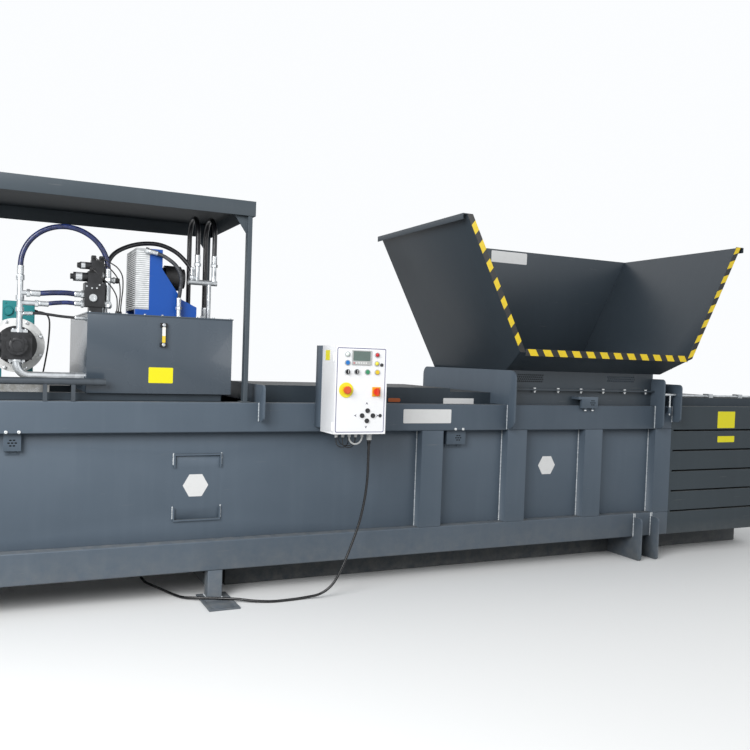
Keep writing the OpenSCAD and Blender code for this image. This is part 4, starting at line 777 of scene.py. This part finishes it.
# Valve stack: black steel blocks, solenoid valves with plated coil sleeves and plastic plugs.
piece("valve_fittings", "base", "zinc", bright_zinc, *(turning(*row) for row in (
    ((1508, 173, 1983), forwards, [(0, 25), (5, 25), (7, 23), (7, 11), (3, 10)], 32),
    ((1402, 240, 2118), rightwards, [(0, 26), (2, 29.6), (40, 29.6), (42, 26), (46, 26)], 28),
    ((1434, 240, 2192), rightwards, [(0, 21), (2, 23.6), (26, 23.6), (28, 21)], 28),
    ((1600, 270, 2110), rightwards, [(0, 15), (2, 17.6), (38, 17.6), (40, 22), (52, 22), (52, 16),
                                     (60, 16)], 24),
    ((1457, 236, 2006), leftwards, [(0, 24), (2, 26), (16, 26), (18, 22)], 6),
    ((1457, 236, 1944), leftwards, [(0, 24), (2, 26), (16, 26), (18, 22)], 6),
    ((1604, 230, 1951), downwards, [(0, 26), (2, 28), (20, 28), (22, 24), (30, 20)], 6),
    ((1580, 230, 1951), rightwards, [(-2, 20), (0, 22), (14, 22), (16, 20)], 6),
    ((1604, 228, 1951), forwards, [(0, 22), (16, 22), (22, 18), (22, 9), (18, 9)], 24))),
    *front_parts(180, ((1468, 2056), (1500, 2045), (1530, 2047), (1546, 2068)),
                 [(0, 5.5), (6, 5.5), (6, 3), (3, 3)], 12))
moulded, given = effect_group("moulded_plastic", {
    "Plastic": "1a1a1c", "Bloom": "5a5a5a", "Aged": 0.12, "Base roughness": 0.38})
place = place_in(moulded)
age = noise(moulded, place, 30.0, 4.0)
share = times(moulded, remap(moulded, age, 0.4, 0.8), given["Aged"])
put_out(moulded, given, blend(moulded, share, given["Plastic"], given["Bloom"]),
        times(moulded, age, 0.12), noise(moulded, place, 900.0))
black_plastic = finish_from("black_plastic", moulded, 0.00006)
plugs = [turning(start, way, [(0, 19), (10, 19), (12, 17), (20, 17), (22, 12)], 20)
         for start, way in (((1402, 240, 2118), leftwards), ((1434, 240, 2192), leftwards),
                            ((1660, 270, 2110), rightwards))]
for x, y, z in ((1510, 215, 2232), (1560, 225, 2232), (1500, 205, 2155)):
    plugs += [[level(x, y, 15, 14, z - 4), level(x, y, 15, 14, z + 20), level(x, y, 12, 11.2, z + 26)],
              turning((x, y - 14, z + 10), forwards, [(0, 8), (12, 8), (14, 6), (18, 6)], 14)]
piece("valve_plugs", "base", "black_plastic", black_plastic, *plugs)

# Cooler: a brazed alloy core with corrugated fins between its tubes, in a blue sheet shroud. A
# black fan motor sits on its wire guard at the back.
coat(plated("core_grey", "b4b7b9", "96999b", 30.0, 0.5, 0.2), "cooler_core")
cooler_alloy = plated("cooler_alloy", "eceeef", "c4c7c9", 30.0, 0.4, 0.2)
fin_alloy = plated("fin_alloy", "9a9da0", "6b6e70", 22.0, 0.5, 0.3)
tube_heights = [1944 + k * 365 / 27 for k in range(28)]
piece("cooler_bars", "base", "cooler_alloy", cooler_alloy, *(
    [level(*flat, z) for z in (low, low + 7)] for low in tube_heights
    for flat in ((1823.5, 229, 42.5, 1), (1823.5, 641, 42.5, 1), (1779, 435, 1, 207))))
fin_tree, given, spots = row_tree("corrugated_fins", {"Pitch": 0.007, "Depth": 0.03, "Height": 0.008,
                                                      "Lean": 0.35}, "Alloy")
fin = add(fin_tree, "GeometryNodeMeshCube", {
    "Size": vector_of(fin_tree, given["Depth"], 0.0005, given["Height"])})
order = add(fin_tree, "GeometryNodeInputIndex").outputs[0]
other_way = maths(fin_tree, "SUBTRACT", times(
    fin_tree, maths(fin_tree, "MODULO", order, 2.0), 2.0), 1.0)
turn = vector_of(fin_tree, x=times(fin_tree, other_way, given["Lean"]))
set_out(fin_tree, spots, fin.outputs["Mesh"], turn, given["Alloy"])
fin_heights = [1950 + (k + 0.5) * 365 / 27 for k in range(27)]
grown("cooler_fins", [[(1800, 268, z), (1800, 602, z)] for z in fin_heights], fin_tree,
      {"Pitch": 0.007, "Depth": 0.036, "Height": 0.0078, "Alloy": fin_alloy})


def near_axis(tree, middle, seen, reach):
    """One within a reach of a middle, in millimetres, along the axes that are one in seen."""
    centre = [c * s for c, s in zip(machine @ Vector(middle), seen)]
    flat = add(tree, "ShaderNodeVectorMath", {0: place_in(tree), 1: seen}, operation="MULTIPLY")
    away = add(tree, "ShaderNodeVectorMath", {0: flat.outputs[0], 1: centre}, operation="DISTANCE")
    return maths(tree, "LESS_THAN", away.outputs["Value"], reach / 1000)


def fan_side(tree):
    """A mask for what stands behind the shroud's back plate and inside its guard."""
    return times(tree, near_axis(tree, (1952.05, 435, 2167.5), (0.0, 1.0, 1.0), 176),
                 beyond("X", 1952.05)(tree))


blue_values = {"Paint": "004aa4", "Faded": "00428e", "Base_roughness": 0.3, "Dust_height": 0.01,
               "Scuffs": 0.15}
coat(finish_by_place("shroud_finish", fan_side, (paint, blue_values, 0.0),
                     (moulded, {"Base_roughness": 0.42}, 0.0)), "cooler_shroud")
coat(black_plastic, "cooler_fan")

# Cylinder and ram: the barrel is sprayed, the rod is hard-chromed and ground, and the ram's face
# and sides are rubbed bright by what it pushes.
coat(painted("barrel_paint", "2f353a", "3c4348", roughness=0.3, shine=0.5), "cylinder_barrel")
coat(plated("rod_chrome", "d9dbdd", "c2c5c8", 5.0, 0.08, 1.0, relief=0.00001), "piston_rod")
coat(plated("rubbed_steel", "8d8f90", "5a5650", 3.0, 0.38, 0.75, relief=0.0002), "ram")
coat(black_iron, "door_wheel")

# Control box: folded steel in white powder coat, with a line printed round its door.
powder = finish_from("white_powder", paint, 0.00008, Paint="f6f7f9", Faded="eef0f3", Dust="c9c7c2",
                     Dust_height=0.01, Base_roughness=0.36, Scuffs=0.04)
coat(powder, "control_box", eased=1.5)
coat(powder, "box_door")
coat(finish_from("gear_grey", moulded, 0.00006, Plastic="c6c8c6"), "control_gear")
coat(finish_from("pale_plastic", moulded, 0.00006, Plastic="cfd1d1"), "cable_glands")
door_face = -341


def on_door(dx, dz):
    """A place on the door, from the lower left corner of the box."""
    return 2992 + dx, 1140 + dz


def at_door(outline):
    """An outline drawn from the lower left corner of the box."""
    return [on_door(*spot) for spot in outline]


outer, inner = (at_door(rounded(*edge)) for edge in ((12, 12, 372, 582, 11),
                                                     (16.5, 16.5, 367.5, 577.5, 8)))
piece("door_line", "box_door", "blue_plastic", finish_from("door_line_ink", vinyl, Ink="2d2870", Grimy=0.02),
      [[(x, y, z) for x, z in outline] for outline, y in (
          (outer, door_face), (outer, door_face - 0.3), (inner, door_face - 0.3), (inner, door_face))],
      hollow=True)
piece("side_label", "base", "yellow_plastic", label_yellow,
      [level(2991.6, -201, 0.4, 38, z) for z in (1633, 1702)])


# Push buttons, lamps and switches: moulded caps in plated sleeves, a mushroom stop on its yellow
# disc, and a handle on a yellow plate.
def coloured_spots(finish, *spots):
    """Colours a finish by round places on the door: each has its middle, its reach and its colour."""
    tree = finish.node_tree
    effect = next(node for node in tree.nodes if node.type == "GROUP")
    colour = tuple(effect.inputs["Plastic"].default_value)
    for dx, dz, reach, code in spots:
        x, z = on_door(dx, dz)
        inside = near_axis(tree, (x, 0, z), (1.0, 0.0, 1.0), reach)
        colour = blend(tree, inside, colour, linear(code))
    tree.links.new(colour, effect.inputs["Plastic"])
    return finish


coat(coloured_spots(
    finish_from("panel_plastic", moulded, 0.00004, Plastic="b3b6b8", Base_roughness=0.28),
    (85, 538, 13.4, "e6f2ec"), (305, 539, 13.4, "c0101c"), (304, 480, 13.4, "e8dc3c"),
    (82, 298, 52, "f4e62c"), (306, 289, 46, "f0a81a"), (189.5, 518, 86, "b9bbba"),
    (246, 160, 17, "1c1c1f"), (206, 126, 17, "1c1c1f"), (287, 126, 17, "1c1c1f"),
    (243, 91, 17, "1c1c1f")), "control_panel")
for name, code, nodes in (
        ("blue_cap", "0f74c4", ("blue_button",)), ("green_cap", "2f8f63", ("green_button",)),
        ("yellow_cap", "ecc91c", ("yellow_button",)), ("red_cap", "dd5a30", ("emergency_stop",)),
        ("handle_red", "dd3d1e", ("isolator_knob",)),
        ("dark_cap", "26262a", ("arrow_up", "arrow_left", "arrow_right", "arrow_down",
                                "left_selector", "right_selector", "upper_lock", "lower_lock"))):
    coat(finish_from(name, moulded, 0.00004, Plastic=code, Base_roughness=0.26, Aged=0.05,
                     Coat_Weight=0.3), *nodes)
piece("display_screen", "box_door", "black_plastic",
      finish_from("display_glass", moulded, 0.00001, Plastic="5d716b", Aged=0.3, Base_roughness=0.12,
                  Coat_Weight=0.6), plate(at_door(rounded(127, 496, 252, 560, 3)), door_face - 6.05, 0.6))
piece("display_keys", "box_door", "white_plastic",
      coloured_spots(finish_from("key_plastic", moulded, Plastic="e4e5e4"), (132, 481, 9, "c98d92")),
      *(plate(at_door(rounded(126 + 18 * k, 475, 138 + 18 * k, 487, 3)), door_face - 8.05, 1.6)
        for k in range(6)))
piece("arrow_marks", "box_door", "black_plastic", finish_from("mark_ink", vinyl, Ink="16143c", Grimy=0.02),
      *(plate(at_door(around(x, z, reach, angle + a) for a, reach in
                      ((0, 13), (128, 12), (180, -1), (232, 12))), door_face, 0.3)
        for x, z, angle in ((240, 206, 90), (160, 126, 180), (319, 126, 0), (238, 51, 270))))
pale_ink = finish_from("pale_ink", vinyl, Ink="f0f0ee", Grimy=0.05)
for side, dx in (("left", 88), ("right", 155)):
    piece(f"{side}_pointer", f"{side}_selector", "white_plastic", pale_ink, plate(
        at_door([(dx - 1.6, 411), (dx + 1.6, 411), (dx + 1.6, 435), (dx - 1.6, 435)]), door_face - 22, 0.5))

# Wiring: black leads with a PVC sheath, from the box glands, the valve plugs and the motor's
# terminal box. Each goes straight out of its gland and back into the machine.
lead_skin = finish_from("lead_skin", sheath, 0.00003, Sheath="19191b", Dusty=0.2,
                        Rings_per_metre=20.0, Base_roughness=0.35)
lead_lines = {
    "box_lead_1": (3.4, [
        (3056, -241, 1109.7), (3056, -241, 1085), (3066, -237, 1058), (3100, -226, 1040),
        (3143, -208, 1044), (3168, -190, 1072), (3174, -172, 1108), (3174, -165, 1139.7)]),
    "box_lead_2": (3.4, [
        (3104, -241, 1109.7), (3104, -241, 1085), (3114, -234, 1055), (3150, -220, 1036),
        (3196, -203, 1042), (3222, -185, 1074), (3228, -170, 1110), (3228, -165, 1139.7)]),
    "box_lead_3": (3.4, [
        (3200, -241, 1109.7), (3200, -240, 1092), (3190, -224, 1062), (3160, -202, 1046),
        (3122, -186, 1054), (3102, -172, 1086), (3098, -165, 1115), (3098, -162, 1139.7)]),
    "valve_lead_1": (4, [
        (1560, 192.7, 2242), (1560, 172, 2242), (1572, 152, 2231), (1606, 146, 2212),
        (1652, 160, 2185), (1688, 192, 2136), (1700, 240, 2060), (1700, 290, 1985),
        (1700, 318, 1930), (1700, 322, 1887.8)]),
    "valve_lead_2": (4, [
        (1510, 182.7, 2242), (1510, 162, 2241), (1524, 142, 2228), (1562, 134, 2202),
        (1620, 140, 2158), (1664, 166, 2098), (1680, 215, 2022), (1682, 262, 1955),
        (1682, 285, 1915), (1682, 288, 1887.8)]),
    "valve_lead_3": (4, [
        (1500, 172.7, 2165), (1500, 152, 2164), (1514, 134, 2150), (1552, 126, 2114),
        (1610, 136, 2062), (1650, 166, 2002), (1662, 210, 1945), (1664, 235, 1912),
        (1664, 240, 1887.8)]),
    "motor_lead": (5.5, [
        (1204.3, 600, 1892), (1220, 600, 1892), (1248, 600, 1884), (1269, 600, 1860),
        (1277, 600, 1822), (1276, 600, 1750), (1268, 600, 1650), (1252, 600, 1540),
        (1240, 600, 1470), (1238, 600, 1440), (1238, 600, 1412.3)])}
for name, (radius, points) in lead_lines.items():
    laid_cord(name, smooth_route(points), radius, lead_skin,
              skin_gap=0.05, sides=12)
lead_glands = []
for start, way, reach in (((1180, 600, 1892), rightwards, 12), ((1238, 600, 1388), upwards, 12),
                          ((1700, 322, 1887), upwards, 9), ((1682, 288, 1887), upwards, 9),
                          ((1664, 240, 1887), upwards, 9)):
    lead_glands += [turning(start, way, [(0, reach + 3), (10, reach + 3), (11, reach)], 6),
                    turning(Vector(start) + way * 11, way, [(-1, reach), (6, reach), (11, reach - 2),
                                                            (13, reach - 5)], 20)]
piece("lead_glands", "base", "black_plastic", black_plastic, *lead_glands)

# Sensor covers: their fixing screws are plated, and each front carries seven short black slots,
# painted shade where its vent holes are.
vent_shade_black = finish_from("vent_shade_black", moulded, Plastic="070708", Aged=0.02, Base_roughness=0.7,
                         Specular_IOR_Level=0.1)
piece("vent_hole_shadows", "base", "black_plastic", vent_shade_black, *(
    plate(rounded(x + dx - 7.5, z + dz - 4, x + dx + 7.5, z + dz + 4, 4, 3), face, 0.4)
    for x, face, z in ((1045, 45, 1066), (4196, 40, 1066), (5440, -30, 1350))
    for dx, dz in ((-10, 17), (10, 17), (-20, 0), (0, 0), (20, 0), (-10, -17), (10, -17))))
piece("cover_screws", "base", "zinc", white_zinc,
      *front_parts(0, [(x, 1137) for x in (1008, 1080, 4144, 4211)],
                   [(0, 10), (7, 10), (9, 7), (9, 4), (5, 4)], 14),
      *(turning((x, -16, 1291), downwards, [(0, 10), (8, 10), (10, 7)], 14) for x in (5375, 5450)))

# Floor and light: a pale floor that runs into a white backdrop, a large soft lamp high at the
# front left, and a weaker one at the right. The floor looks pale, but sends up no more light than
# grey concrete does.
slab = bpy.data.meshes.new("floor_slab")
slab.from_pydata([(x, y, -0.0005) for x, y in ((-40, -40), (40, -40), (40, 40), (-40, 40))],
                 [], [(0, 1, 2, 3)])
floor_finish, tree, surface = new_finish("pale_floor")
surface.inputs["Roughness"].default_value = 0.8
tree.links.new(blend(tree, add(tree, "ShaderNodeLightPath").outputs["Is Diffuse Ray"],
                            linear("e9eaea"), linear("8c8b88")), surface.inputs["Base Color"])
slab.materials.append(floor_finish)
shown("floor_slab", slab)
world = bpy.data.worlds.new("plain_room")
bpy.context.scene.world = world
world.use_nodes = True
tree = world.node_tree
room = tree.nodes["Background"]
rays = add(tree, "ShaderNodeLightPath").outputs
seen = maths(tree, "MAXIMUM", rays["Is Camera Ray"], times(
    tree, maths(tree, "MAXIMUM", rays["Is Glossy Ray"], rays["Is Transmission Ray"]), 0.8))
room.inputs["Color"].default_value = (0.97, 0.985, 1.0, 1.0)
tree.links.new(remap(tree, seen, 0.0, 1.0, 0.62, 1.0), room.inputs["Strength"])
for name, spot, target, size, energy in (
        ("window_lamp", (-6.2, -5.2, 4.4), (-1.0, 0.0, 1.2), 4.0, 560.0),
        ("fill_lamp", (4.0, -7.5, 5.0), (0.5, 0.0, 1.4), 4.0, 130.0)):
    lamp = bpy.data.lights.new(name, "AREA")
    lamp.size = size
    lamp.energy = energy
    holder = shown(name, lamp)
    holder.location = spot
    holder.rotation_euler = (Vector(target) - Vector(spot)).to_track_quat("-Z", "Y").to_euler()
bpy.context.scene.view_settings.view_transform = "Standard"
